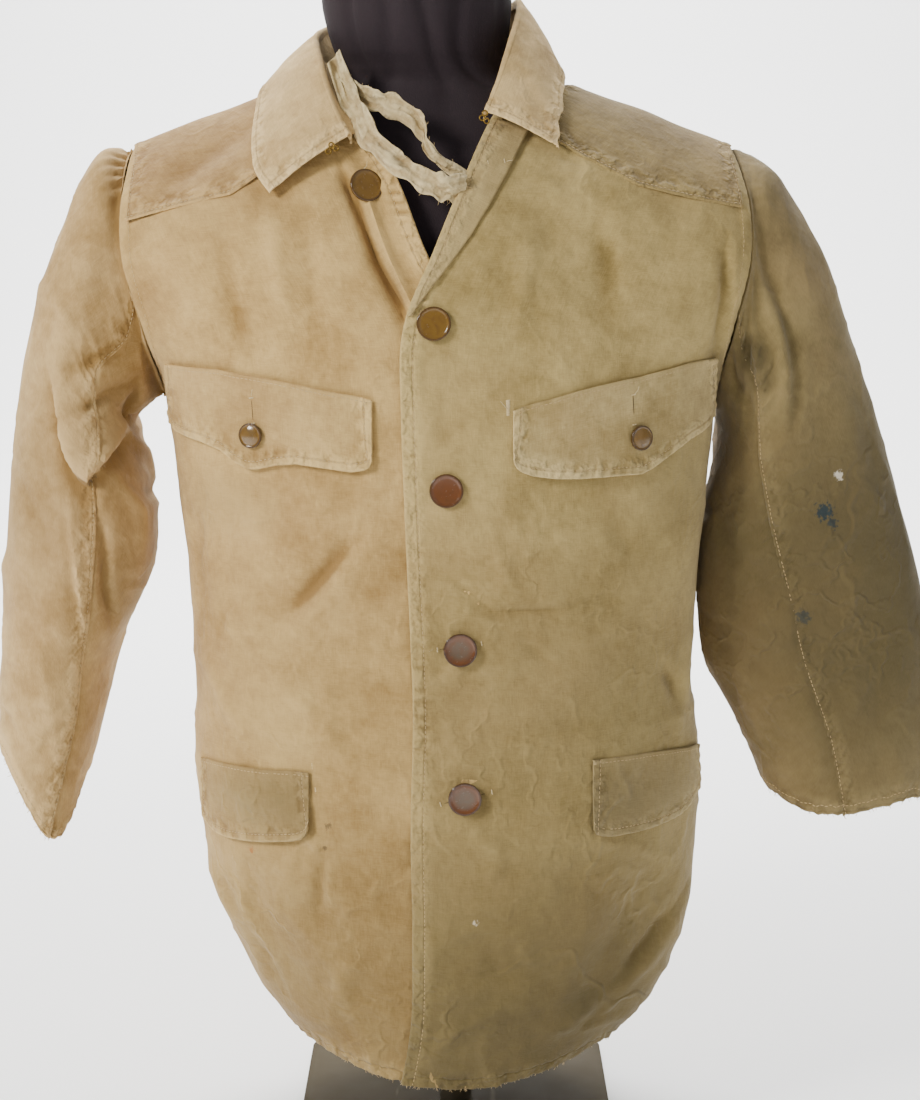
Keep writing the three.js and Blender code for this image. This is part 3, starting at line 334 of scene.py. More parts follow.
def fold_height(folds, x, z):
    """Soft ridges and troughs, each along a straight line from one X and Z to another."""
    height = np.zeros_like(x)
    for from_x, from_z, to_x, to_z, width, depth in folds:
        along_x, along_z = to_x - from_x, to_z - from_z
        length = math.hypot(along_x, along_z)
        share = ((x - from_x) * along_x + (z - from_z) * along_z) / length ** 2
        away = ((x - from_x) * along_z - (z - from_z) * along_x) / length
        taper = smooth_step(-0.25, 0.3, share) * smooth_step(1.25, 0.7, share)
        height += depth * taper * np.exp(-(away / width) ** 2)
    return height


def arm_angle(side, at):
    return np.radians(np.clip(row_value(body[side + '_arm'], at), 30, 90))


def ring_half(side, at):
    return row_value(body['half'], at) / np.sin(arm_angle(side, at))


def angle_at_x(side, x, at):
    return np.arcsin(np.clip((x - row_value(body['centre_x'], at)) / ring_half(side, at), -1, 1))


def body_surface(side, angle, at):
    """The outer face of the body, in millimetres, by the angle from its middle and the row."""
    facing = -1 if side == 'front' else 1
    across = np.sin(angle)
    hollow = np.maximum(np.cos(angle), 0)
    depth = row_value(body[side], at) * hollow ** row_value(body['square'], at)
    outward = np.sqrt((across / np.sin(arm_angle(side, at))) ** 2 + 0.0004)
    centre_z = row_value(body['centre_z'], at)
    z = centre_z + (row_value(body['side_z'], at) - centre_z) * np.minimum(outward, 1) ** 1.25
    x = row_value(body['centre_x'], at) + ring_half(side, at) * across
    fade = smooth_step(shoulder_row, shoulder_row - 0.8, at) * smooth_step(0, 0.35, np.cos(angle))
    raised = fold_height(main_folds[side], x, z) * fade
    y = body_middle_y + facing * (depth + raised * np.cos(angle))
    return np.stack([x + raised * across, y, z], axis=-1)


def body_point(side, angle, at, lift=0.0):
    """The same face moved out by a lift, square to the cloth."""
    angle, at, lift = np.broadcast_arrays(angle, at, lift)
    turn, row = 0.01, 0.02
    limit = math.pi / 2 - turn
    middle = np.clip(angle, -limit, limit)
    across = body_surface(side, middle + turn, at) - body_surface(side, middle - turn, at)
    up = body_surface(side, angle, at + row) - body_surface(side, angle, np.maximum(at - row, 0))
    normal = np.cross(across, up) if side == 'front' else np.cross(up, across)
    normal[..., 1] = np.where(np.abs(angle) > limit, 0, normal[..., 1])
    return body_surface(side, angle, at) + unit(normal) * lift[..., None]


def front_edges(hand, at):
    """The angles of a front's two edges at a row: its front edge, and its side seam or armhole."""
    right = hand == 'right'
    edge = angle_at_x('front', row_value(body['under_edge' if right else 'over_edge'], at), at)
    return edge, (-1 if right else 1) * arm_angle('front', at)


def front_point(hand, across, at, lift=0.0):
    """A point on a front, from its front edge (0) to its side seam or armhole (1)."""
    edge, side = front_edges(hand, at)
    over = smooth_step(0.62, 0.3, across) * smooth_step(neck_row + 2, neck_row, at) * (hand == 'left')
    point = body_point('front', edge + (side - edge) * across, at, lift + overlap_lift * over)
    point[..., 1] -= seam_gap / 2
    return point


def back_point(across, at, lift=0.0):
    """A point on the back, from the right armhole (-2) past the neck (-1 to 1) to the left one (2)."""
    share = np.abs(across)
    top = shoulder_row - neck_dip * (1 - np.clip(share, 0, 1) ** 3)
    climb = (at - neck_row) / (shoulder_row - neck_row)
    row = np.where(at <= neck_row, at, neck_row + (top - neck_row) * climb)
    neck = np.arcsin(np.clip(neck_half_width / ring_half('back', row), -1, 1))
    side = arm_angle('back', row)
    reach = np.where(share <= 1, neck * share, neck + (side - neck) * (share - 1))
    point = body_point('back', np.sign(across) * reach, row, lift)
    point[..., 1] += seam_gap / 2
    return point


def crease(a, b, path, width, depth, lean=0.0):
    """A crease of the cloth along a path of places. lean tips it: one side up, the other down."""
    near = np.full(np.shape(a), 1e6)
    side = np.zeros(np.shape(a))
    taper = np.zeros(np.shape(a))
    for step in range(len(path) - 1):
        (from_a, from_b), (to_a, to_b) = path[step], path[step + 1]
        along_a, along_b = to_a - from_a, to_b - from_b
        length = max(math.hypot(along_a, along_b), 1e-6)
        share = np.clip(((a - from_a) * along_a + (b - from_b) * along_b) / length ** 2, 0, 1)
        away = np.hypot(a - from_a - share * along_a, b - from_b - share * along_b)
        closer = away < near
        whole = (step + share) / (len(path) - 1)
        turn = (a - from_a) * along_b - (b - from_b) * along_a
        side = np.where(closer, np.sign(turn), side)
        taper = np.where(closer, np.sin(math.pi * np.clip(whole * 0.9 + 0.05, 0, 1)) ** 0.7, taper)
        near = np.where(closer, away, near)
    swell = np.exp(-(near / width) ** 2)
    return depth * taper * swell * (1 - abs(lean) + lean * 2.3 * side * near / width)


def uneven(a, b, pitch, seed):
    """Soft uneven ground, from -1 to 1, with bumps about one pitch apart and a fixed seed."""
    heights = np.random.default_rng(seed).uniform(-1, 1, (64, 64))
    a, b = np.broadcast_arrays(a / pitch + 640, b / pitch + 640)
    low_a, low_b = np.floor(a).astype(int), np.floor(b).astype(int)
    share_a, share_b = a - low_a, b - low_b
    share_a, share_b = [share * share * (3 - 2 * share) for share in (share_a, share_b)]
    corner = lambda step_a, step_b: heights[(low_a + step_a) % 64, (low_b + step_b) % 64]
    low = corner(0, 0) + (corner(1, 0) - corner(0, 0)) * share_a
    high = corner(0, 1) + (corner(1, 1) - corner(0, 1)) * share_a
    return low + (high - low) * share_b


def crumple(a, b, pitch, seed):
    """Low sharp ridges from 0 to 1 that run into each other, as in cloth that was creased up."""
    bent = a + 0.4 * pitch * uneven(a, b, pitch * 1.7, seed + 2)
    return (1 - np.abs(uneven(bent, b, pitch, seed))) ** 5


def spaced(length, step, ends=(0.5, 1.2, 2.2)):
    """Shares from 0 to 1 of a length, one step apart and closer together at both ends."""
    count = max(2, round((length - 2 * ends[-1]) / step))
    middle = np.linspace(ends[-1], length - ends[-1], count + 1)
    last = [length - end for end in reversed(ends[:-1])]
    return np.concatenate([[0], ends[:-1], middle, last, [length]]) / length


def cloth(name, surface, across, along, thickness, finish, slot, relief=None, painted_shade=None,
          stitched='abcd', turned='abcd', bevel=1.3):
    """A wall of cloth on a surface of two places and a lift. Its borders are a and b, across the
    cloth, and c and d along it. Those turned have a rounded edge; edge is the way to those stitched."""
    u, v = np.meshgrid(across, along, indexing='ij')
    flat = surface(u, v, np.zeros_like(u))
    zero_u, zero_v = np.zeros((1, u.shape[1])), np.zeros((u.shape[0], 1))
    run_u = np.concatenate([zero_u, np.cumsum(np.linalg.norm(np.diff(flat, axis=0), axis=-1), axis=0)])
    run_v = np.concatenate([zero_v, np.cumsum(np.linalg.norm(np.diff(flat, axis=1), axis=-1), axis=1)],
                           axis=1)
    way = {'a': run_u, 'b': run_u[-1:] - run_u, 'c': run_v, 'd': run_v[:, -1:] - run_v}
    fold = relief(u, v, flat, way) if relief else np.zeros_like(u)
    lift = fold.copy()
    for border in turned:
        inset = np.clip(bevel - way[border], 0, bevel)
        lift -= bevel - np.sqrt(np.maximum(bevel ** 2 - inset ** 2, 0))
    points = surface(u, v, lift)
    outward = surface(u, v, lift + 1) - points
    edge = np.full(u.shape, 60.0)
    for border in stitched:
        edge = np.minimum(edge, way[border])
    index = np.arange(u.size).reshape(u.shape)
    quads = np.stack([index[:-1, :-1], index[1:, :-1], index[1:, 1:], index[:-1, 1:]], axis=-1)
    middle = tuple(size // 2 for size in u.shape)
    step_u = points[middle[0] + 1, middle[1]] - points[middle]
    step_v = points[middle[0], middle[1] + 1] - points[middle]
    if np.dot(np.cross(step_u, step_v), outward[middle]) < 0:
        quads = quads[..., ::-1]
    quads = quads.reshape(-1, 4)
    mesh = bpy.data.meshes.new(name)
    mesh.from_pydata((points.reshape(-1, 3) / 1000).tolist(), [], quads.tolist())
    places = np.stack([run_u, run_v], axis=-1).reshape(-1, 2) / 1000
    mesh.uv_layers.new(name='cloth').data.foreach_set('uv', places[quads].ravel())
    marks = {'edge': edge, 'fold': fold, 'painted_shade': painted_shade(u, v, points) if painted_shade else np.zeros_like(u)}
    for mark, values in marks.items():
        mesh.attributes.new(mark, 'FLOAT', 'POINT').data.foreach_set('value', values.ravel())
    mesh.materials.append(finish)
    piece = bpy.data.objects.new(name, mesh)
    bpy.context.scene.collection.objects.link(piece)
    bpy.context.view_layer.objects.active = piece
    piece.select_set(True)
    wall = piece.modifiers.new('wall', 'SOLIDIFY')
    wall.thickness = thickness / 1000
    wall.offset = -1
    bpy.ops.object.modifier_apply(modifier='wall')
    bpy.ops.object.shade_smooth_by_angle(angle=math.radians(50))
    piece.select_set(False)
    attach(piece, 'root')
    return {'piece': piece, 'points': points, 'outward': outward, 'way': way}


def puckers(way, border, depth, pitch, middle, reach, seed):
    """Short ridges that cross a stitched border, drawn up by its thread."""
    run = way['c'] if border in 'ab' else way['a']
    beat = run / pitch * 2 * math.pi + 2.4 * uneven(run, way[border] * 0.2, pitch * 2.5, seed)
    swell = 0.65 + 0.35 * uneven(run, way[border], pitch * 6, seed + 1)
    return depth * np.sin(beat) * swell * np.exp(-((way[border] - middle) / reach) ** 2)


def welt(way, border, width, height):
    """The double band along a border where the cloth is turned in."""
    return height * smooth_step(width + 1.2, width - 0.6, way[border])


def patches_of_painted_shade(spots):
    """Soft painted shade on a piece, in patches, each by its middle, its half sizes and how dark it is."""
    def painted_shade(u, v, points):
        dark = np.zeros_like(u)
        for (x, y, z), (size_x, size_y, size_z), strength in spots:
            away = np.sqrt(((points[..., 0] - x) / size_x) ** 2 + ((points[..., 1] - y) / size_y) ** 2
                           + ((points[..., 2] - z) / size_z) ** 2)
            dark = np.maximum(dark, strength * smooth_step(1.1, 0.25, away))
        return dark
    return painted_shade


def row_shares(surface, along_rows, at_u, step):
    """Rows of a table spaced evenly along the cloth, by its length at one place across it."""
    fine = np.linspace(along_rows[0], along_rows[1], 400)
    line = surface(np.full(400, at_u), fine, np.zeros(400))
    run = run_along(line)
    return np.interp(spaced(run[-1], step) * run[-1], run, fine)


# Creases of the body by X and Z in millimetres, seen from the front, with half width, depth, lean
front_creases = {
    'right': [
        ([(-62, 452), (-94, 413), (-118, 387)], 11, -2.6, 0.5),
        ([(-58, 455), (-82, 430), (-109, 403)], 5, -1.4, 0.2),
        ([(-128, 366), (-95, 333), (-70, 300)], 7, 1.1, 0.3),
        ([(-147, 405), (-157, 395), (-160, 380)], 4, -1.2, 0.4),
        ([(-73, 696), (-62, 672), (-48, 636), (-34, 609), (-29, 590)], 6, -3.4, 0.75),
        ([(-73, 696), (-62, 672), (-48, 636), (-34, 609), (-30, 596)], 3.2, -1.5, 0.2),
        ([(-120, 665), (-116, 630), (-110, 596)], 9, 1.3, 0),
        ([(-95, 652), (-92, 620), (-88, 590)], 9, -1.2, 0.1),
        ([(-150, 650), (-148, 610), (-140, 575)], 12, -1.4, 0),
        ([(-131, 722), (-172, 693), (-204, 668)], 9, -1.8, 0.4),
        ([(-175, 371), (-156, 334), (-140, 312)], 9, 1.5, 0.4),
        ([(-88, 240), (-91, 215), (-92, 185)], 5, -2.2, 0.2),
        ([(-151, 226), (-143, 204), (-147, 177), (-134, 134)], 8, 2.0, 0.4),
        ([(-158, 196), (-142, 165), (-120, 127)], 8, -2.2, 0.5),
        ([(-60, 180), (-80, 140), (-86, 108)], 10, 1.2, 0),
        ([(-170, 470), (-178, 430), (-172, 395)], 10, -1.8, 0.3),
        ([(-120, 480), (-135, 455), (-160, 440)], 9, 1.2, 0.2),
        ([(-40, 330), (-70, 318), (-110, 322)], 6, -0.8, 0.2),
    ],
    'left': [
        ([(-4, 430), (25, 405), (70, 406), (111, 411)], 4.5, -1.5, 0.4),
        ([(22, 467), (34, 430), (43, 412)], 5, 1.0, 0.2),
        ([(69, 382), (92, 384), (114, 387)], 4.5, 1.0, 0.3),
        ([(43, 389), (54, 377), (66, 364)], 4.5, -1.0, 0.2),
        ([(146, 357), (155, 342), (161, 322)], 7, -2.2, 0.5),
        ([(163, 186), (140, 160), (124, 141), (94, 109)], 8, -2.6, 0.5),
        ([(147, 151), (125, 136), (95, 116), (64, 102)], 8, 1.8, 0.4),
        ([(2, 153), (30, 158), (55, 156), (82, 128)], 7, -1.0, 0.3),
        ([(-19, 93), (2, 117), (44, 140)], 6, 1.2, 0.2),
        ([(13, 258), (26, 239), (21, 207)], 9, 1.0, 0),
        ([(49, 652), (45, 625), (42, 590)], 9, 1.2, 0),
        ([(90, 670), (102, 630), (100, 590)], 12, -1.5, 0.1),
        ([(183, 645), (184, 606), (179, 572)], 6, -2.4, 0.6),
        ([(96, 470), (112, 452), (128, 430)], 10, -1.2, 0.2),
        ([(166, 367), (162, 335), (157, 302)], 7, 1.6, 0.3),
        ([(-17, 548), (-20, 520), (-23, 490)], 9, 0.9, 0),
        ([(71, 235), (85, 218), (99, 198)], 10, -1.1, 0.2),
        ([(20, 330), (60, 322), (110, 330)], 8, -0.9, 0.2),
    ],
}
back_creases = [
    ([(-178, 585), (-150, 560), (-110, 520)], 10, -2.6, 0.4),
    ([(182, 590), (150, 560), (112, 528)], 10, -2.4, -0.4),
    ([(-170, 470), (-120, 440), (-60, 430)], 9, -1.8, 0.3),
    ([(160, 455), (110, 432), (60, 436)], 9, -1.6, -0.3),
    ([(-140, 360), (-90, 330), (-40, 335)], 10, 1.5, 0.3), ([(130, 340), (80, 312), (30, 322)], 9, 1.4, 0.2),
    ([(-120, 250), (-116, 190), (-98, 120)], 10, 2.4, 0.3),
    ([(110, 240), (118, 180), (100, 118)], 10, 2.2, -0.3),
    ([(-30, 300), (-26, 220), (-34, 130)], 9, -1.8, 0.2), ([(36, 280), (30, 200), (38, 110)], 9, -1.6, 0),
    ([(-60, 700), (-20, 690), (30, 700)], 8, -1.4, 0.3), ([(-100, 640), (-92, 590), (-98, 540)], 11, 1.2, 0),
    ([(100, 640), (96, 590), (104, 545)], 11, 1.3, 0),
]


def body_relief(creases, seed, side_border, hem_border='c'):
    """The small relief of a panel: its creases, its soft uneven ground and its drawn-up edges."""
    def relief(u, v, flat, way):
        x, z = flat[..., 0], flat[..., 2]
        height = 1.2 * uneven(x, z, 58, seed) + 0.55 * uneven(x, z, 24, seed + 1)
        height += 0.2 * uneven(x, z, 9, seed + 2)
        for path, width, depth, lean in creases:
            height += 2.0 * crease(x, z, path, width * 0.85, depth, lean)
        low = 0.35 + 0.65 * smooth_step(430, 200, z)
        height += low * (1.8 * crumple(x * 0.8 + z * 0.4, z, 42, seed + 3)
                         + 0.9 * crumple(x, z * 0.8, 19, seed + 4))
        calm = smooth_step(shoulder_row, shoulder_row - 0.6, v)
        height *= 0.25 + 0.75 * calm
        for border in side_border:
            height *= smooth_step(0, 9, way[border]) * 0.85 + 0.15
            height += puckers(way, border, 0.4, 9, 5, 7, seed + 5)
        height += puckers(way, hem_border, 1.0, 10, 4, 9, seed + 7)
        return height
    return relief


def front_relief(hand, seed):
    panel = body_relief(front_creases[hand], seed, 'b')

    def relief(u, v, flat, way):
        height = panel(u, v, flat, way)
        below_neck = smooth_step(9.2, 8.4, v) if hand == 'left' else smooth_step(12, 11.4, v)
        height += puckers(way, 'a', 1.1, 8, 6, 9, seed + 9) + welt(way, 'a', 13, 0.7) * below_neck
        arm = smooth_step(armpit_row, armpit_row + 0.4, v)
        height += (welt(way, 'b', 8, 0.7) + puckers(way, 'b', 0.2, 8, 9, 4, seed + 10)) * arm
        return height
    return relief


def frayed(surface, reach, seed, pitch=3.2, last=False):
    """The surface with one end torn unevenly by up to a reach, given in rows of the cloth."""
    def torn(u, v, lift):
        first, end = (0.0, v.max()) if not last else (v.min(), v.max())
        share = (v - first) / (end - first)
        near = share ** 8 if last else (1 - share) ** 8
        rag = 0.7 * uneven(u * 260, u * 0, pitch, seed) + 0.5 * uneven(u * 260, u * 0, pitch * 5, seed + 1)
        return surface(u, v + (-1 if last else 1) * reach * near * (0.5 + 0.5 * rag), lift)
    return torn


cloth_thickness = 1.8
khaki_right = khaki_cotton('khaki_front_right', dyed(210, 176, 113), dyed(142, 110, 60), (8.6,), 0.0, [
    ((-0.087, -0.111, 0.255), 0.0032, dyed(62, 50, 44), 0.6),
    ((-0.089, -0.11, 0.239), 0.002, dyed(70, 56, 48), 0.55),
    ((-0.14, -0.086, 0.231), 0.0036, dyed(166, 98, 44), 0.7)])
# Painted shade: the left front's khaki is darker than the right front's for the side away from the key light;
# its olive cast is the cloth's own.
khaki_left = khaki_cotton('khaki_front_left', dyed(190, 166, 108), dyed(122, 102, 56), (8.6,), 3.7, [
    ((0.013, -0.125, 0.191), 0.0028, dyed(222, 208, 180), 0.8)])
khaki_back = khaki_cotton('khaki_back', dyed(196, 170, 112), dyed(132, 108, 60), (8.6,), 8.1)
# Painted shade on the fronts, growing towards the hem, under the flaps and beside the left armhole: its
# middle, its half sizes and how dark it is
front_painted_shade = {
    'right': [((-150, -60, 470), (60, 60, 34), 0.2), ((-91, -110, 205), (12, 40, 36), 0.2),
              ((-90, -100, 300), (190, 120, 190), 0.16), ((-90, -100, 40), (340, 200, 300), 0.5)],
    'left': [((150, -60, 490), (40, 60, 60), 0.25), ((90, -120, 40), (340, 200, 300), 0.8),
             ((90, -110, 300), (190, 120, 190), 0.32), ((176, -40, 560), (14, 40, 40), 0.4)],
}
front_slots = {'right': 'khaki_warm', 'left': 'khaki_olive'}
fronts = {}
for hand, finish, seed in (('right', khaki_right, 11), ('left', khaki_left, 31)):
    panel = lambda u, v, lift, hand=hand: front_point(hand, u, v, lift)
    rows = row_shares(panel, (0, shoulder_row), 0.6, 2.9)
    painted_shade = patches_of_painted_shade(front_painted_shade[hand])
    fronts[hand] = cloth(f'panel_front_{hand}', frayed(panel, 0.07, seed), spaced(245, 2.7), rows,
                         cloth_thickness, finish, front_slots[hand], front_relief(hand, seed), painted_shade,
                         stitched='ac')
    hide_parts(f'front_{hand}')
    0.177 if hand == 'right' else 0.18
back_rows = row_shares(back_point, (0, shoulder_row), 1.6, 3.2)
back_across = np.interp(spaced(470, 3.3), np.linspace(0, 1, 5), [-2, -1.02, 0, 1.02, 2])
back_panel = cloth('panel_back', frayed(back_point, 0.06, 51), back_across, back_rows, cloth_thickness,
                   khaki_back, 'khaki_olive', body_relief(back_creases, 51, 'ab'), stitched='c')
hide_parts('back')

# Shoulder patches, one on each shoulder. A second layer of the same cloth, with its edges turned
# under and stitched flat over the shoulder seam, from the chest to the shoulder blade.
patch_across = np.array([0.1, 0.3, 0.5, 0.7, 0.95])
patch_edges = {
    'right': np.array([10.2, 9.45, 8.95, 8.85, 8.68]),
    'left': np.array([10.0, 9.5, 9.1, 9.0, 8.95]),
    'back': np.array([10.0, 9.7, 9.5, 9.4, 9.3]),
}
patch_thickness = 1.2
patch_lift = 0.8


def patch_surface(hand):
    """u runs over the shoulder, 0 at the chest edge, 0.5 on the seam and 1 at the back edge."""
    sign = -1 if hand == 'right' else 1

    def surface(u, v, lift):
        lift = lift + patch_lift + patch_thickness
        edge_front = np.interp(v, patch_across, patch_edges[hand])
        edge_back = np.interp(v, patch_across, patch_edges['back'])
        front_row = edge_front + (shoulder_row - edge_front) * np.clip(u * 2, 0, 1)
        back_row = edge_back + (shoulder_row - edge_back) * np.clip(2 - u * 2, 0, 1)
        front = front_point(hand, v, front_row, lift)
        back = back_point(sign * (1 + v), back_row, lift)
        return np.where((u <= 0.5)[..., None], front, back)
    return surface


def patch_relief(hand, seed):
    def relief(u, v, flat, way):
        x, z = flat[..., 0], flat[..., 2]
        height = 0.7 * uneven(x, flat[..., 1], 26, seed)
        if hand == 'right':
            height += crease(x, z, [(-131, 720), (-172, 693), (-200, 672)], 9, -2.0, 0.5) * (u < 0.5)
        for border in 'abcd':
            height += welt(way, border, 6, 0.35) + puckers(way, border, 0.35, 8, 4, 5, seed + 3)
        return height
    return relief


khaki_patch_right = khaki_cotton('khaki_patch_right', dyed(194, 160, 104), dyed(132, 100, 56), (2.6,), 12.1)
# Painted shade: the left patch is a darker copy of the patch khaki, for the side away from the key light; its
# spot is a real stain.
khaki_patch_left = khaki_cotton('khaki_patch_left', dyed(158, 136, 86), dyed(102, 84, 48), (2.6,), 15.3, [
    ((0.069, -0.065, 0.702), 0.004, dyed(112, 78, 52), 0.75)])
patches = {}
for hand, finish, seed in (('right', khaki_patch_right, 61), ('left', khaki_patch_left, 67)):
    patches[hand] = cloth(f'shoulder_patch_cloth_{hand}', patch_surface(hand), spaced(150, 2.6),
                          0.1 + 0.85 * spaced(118, 2.6), patch_thickness, finish, front_slots[hand],
                          patch_relief(hand, seed), bevel=0.9)
    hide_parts(f'shoulder_patch_{hand}')

# Pocket flaps. Each is two layers of khaki cotton turned and stitched round, sewn down along its
# top edge over the pocket mouth, so that its lower edge stands a little off the front.


def front_row_at(x, z):
    """The row of the front's rings that passes through an X and a Z."""
    low, high = np.zeros_like(x), np.full_like(x, shoulder_row - 0.01)
    for _ in range(24):
        row = (low + high) / 2
        below = body_surface('front', angle_at_x('front', x, row), row)[..., 2] < z
        low, high = np.where(below, row, low), np.where(below, high, row)
    return low


def place_on_front(hand, x, z, lift=0.0):
    """The point of a front under an X and a Z, moved out by a lift."""
    x, z, lift = [np.array(value, float) for value in np.broadcast_arrays(x, z, lift)]
    row = front_row_at(x, z)
    edge, side = front_edges(hand, row)
    return front_point(hand, (angle_at_x('front', x, row) - edge) / (side - edge), row, lift)


# Each flap from its inner end to its outer end: X, and Z of its upper and its lower edge
flap_outlines = {
    'breast_flap_right': ('right', [(-54, 544, 504), (-56, 544.5, 499.5), (-60, 545.5, 497.5),
                                    (-68, 547, 496.5),
                                    (-84, 549.5, 498.5), (-104, 553.5, 501), (-118, 556, 499.5),
                                    (-130, 558, 496.5), (-137, 559, 496), (-145, 560, 500), (-156, 562, 508),
                                    (-168, 562.6, 512), (-182, 563.2, 515), (-191, 563.8, 517.5),
                                    (-195, 563.9, 522), (-196, 564, 527)]),
    'breast_flap_left': ('left', [(37, 537, 506), (38.5, 537.5, 500), (42, 539, 497), (50, 541.5, 494),
                                  (64, 545, 492), (80, 549.5, 491.5), (96, 553, 492), (112, 556, 492.5),
                                  (122, 557.5, 492.5), (130, 559.5, 496), (142, 562, 504), (156, 565.6, 513),
                                  (166, 567, 517), (173, 567.7, 521), (176, 568, 526), (177, 568, 531)]),
    'hip_flap_right': ('right', [(-98, 292, 254), (-99.5, 292, 248.5), (-103, 292, 245), (-109, 292, 243),
                                 (-131, 290, 239), (-156, 289, 236), (-168, 288, 236.5), (-174, 287, 239),
                                 (-178, 286, 243)]),
    'hip_flap_left': ('left', [(91, 300, 253), (93, 300, 249), (98, 300, 247), (106, 300, 246),
                               (122, 299.5, 246.4),
                               (134, 299, 247), (152, 297, 250), (163, 294, 255), (168, 292.5, 258.5),
                               (171, 291, 262)]),
}
flap_thickness = 2.0
flap_lift = 1.1
flap_stand_off = {'breast_flap_right': 1.6, 'breast_flap_left': 1.8, 'hip_flap_right': 2.4,
                  'hip_flap_left': 2.2}


def flap_surface(name):
    hand, outline = flap_outlines[name]
    x, top, bottom = [np.array(column, float) for column in zip(*outline)]
    share = np.abs(x - x[0]) / abs(x[-1] - x[0])

    def surface(u, v, lift):
        place = np.interp(u, share, x)
        upper, lower = np.interp(u, share, top), np.interp(u, share, bottom)
        off = flap_stand_off[name] * v ** 2 * smooth_step(1, 0.75, u)
        return place_on_front(hand, place, upper + (lower - upper) * v,
                              lift + flap_lift + flap_thickness + off)
    return surface


def flap_relief(name, seed):
    def relief(u, v, flat, way):
        x, z = flat[..., 0], flat[..., 2]
        height = 0.7 * uneven(x, z, 24, seed) + 0.25 * uneven(x, z, 9, seed + 1)
        for border in 'abd':
            height += puckers(way, border, 0.55, 7, 4, 5.5, seed + 3) + welt(way, border, 6.5, 0.5)
        if name == 'hip_flap_right':
            height += crease(x, z, [(-165, 278), (-140, 272), (-110, 276)], 6, 1.0, 0.3)
        return height
    return relief


khaki_flap_right = khaki_cotton('khaki_flap_right', dyed(212, 180, 118), dyed(146, 114, 64), (5.5,), 17.7)
khaki_flap_left = khaki_cotton('khaki_flap_left', dyed(204, 180, 126), dyed(140, 118, 70), (5.5,), 21.9)
# Each flap's cut: width and length in metres, and area in square metres
flap_cuts = {'breast_flap_right': ((0.184, 0.063), 0.009), 'breast_flap_left': ((0.191, 0.065), 0.0096),
             'hip_flap_right': ((0.118, 0.054), 0.0056), 'hip_flap_left': ((0.118, 0.055), 0.0056)}
flaps = {}
for seed, (name, (hand, outline)) in enumerate(flap_outlines.items()):
    wide = abs(outline[-1][0] - outline[0][0]) * 1.1
    # Painted shade: the low band of darkening that the fronts carry also falls on the hip flaps.
    painted_shade = patches_of_painted_shade([((0, -110, 270), (300, 120, 60), 0.66 if hand == 'left' else 0.7)])
    flaps[name] = cloth(f'{name}_cloth', flap_surface(name), spaced(wide, 2.0), spaced(56, 2.0),
                        flap_thickness, khaki_flap_right if hand == 'right' else khaki_flap_left,
                        front_slots[hand], flap_relief(name, 71 + 4 * seed), painted_shade, stitched='abd', bevel=1.0)
    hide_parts(name)
    cut, cut_area = flap_cuts[name]

# Neck edge of the left front. The doubled edge below the collar is turned open, so that its
# inner side shows as a band with the top buttonhole in it.
roll_rows = np.array([7.15, 7.35, 7.8, 8.2, 8.6, 9.0, 9.5, 9.9])
roll_widths = np.array([2.5, 6, 12.5, 19, 23, 25, 26, 26])


def roll_surface(u, v, lift):
    start_x = row_value(body['over_edge'], v) + 1.5
    x = start_x + u * np.interp(v, roll_rows, roll_widths)
    edge, side = front_edges('left', v)
    across = (angle_at_x('front', x, v) - edge) / (side - edge)
    return front_point('left', across, v, lift + patch_lift + cloth_thickness)


def roll_relief(u, v, flat, way):
    height = 0.6 * uneven(flat[..., 0], flat[..., 2], 15, 91) + puckers(way, 'a', 0.55, 7, 4, 5, 92)
    height += 1.0 * np.sin(math.pi * u) ** 0.7 + 0.5 * smooth_step(0.7, 1, u)
    return height + welt(way, 'a', 4, 0.4)


khaki_roll = khaki_cotton('khaki_neck_edge', dyed(178, 156, 106), dyed(122, 102, 60), (4.5,), 25.1)
roll_band = cloth('neck_edge_band', roll_surface, spaced(24, 1.4, (0.4, 0.9, 1.6)),
                  7.15 + 2.75 * spaced(146, 1.8), cloth_thickness, khaki_roll, 'lining', roll_relief,
                  stitched='a', bevel=0.9)
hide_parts('front_edge_roll')

# Sleeves, each of a top and an under piece with a seam down the front. They hang bent, as worn
# sleeves do. The right one is gathered at its head and folds over into a pouch above the elbow.
sleeve_columns = 'inner_x inner_z outer_x outer_z half_depth middle_y front_drop'.split()
sleeve_rings = {
    'right': table_columns(sleeve_columns, [
        (-216, 531, -247, 706, 54, 4, 0), (-230, 519, -275, 655, 60, 3, 0),
        (-225, 502, -293, 604, 64, 2, 0), (-218, 468, -306, 545, 66, 0, 0),
        (-217, 430, -314, 480, 66, -2, 0), (-226, 396, -319, 424, 64, -4, 2),
        (-243, 362, -323, 370, 61, -5, 8), (-252, 322, -328, 328, 58, -6, 28),
        (-266, 275, -328, 290, 54, -6, 54)]),
    'left': table_columns(sleeve_columns, [
        (190, 530, 220, 695, 53, 4, 0), (193, 517, 246, 650, 55, 4, 0),
        (191, 499, 269, 600, 54, 4, 0), (186, 468, 290, 545, 50, 4, 0),
        (182, 430, 310, 485, 45, 3, 0), (180, 392, 327, 426, 41, 2, 1),
        (181, 350, 341, 362, 39, 0, 3), (205, 300, 348, 302, 39, -2, 7),
        (224, 256, 346, 248, 40, -2, 14)]),
}
sleeve_last = 9
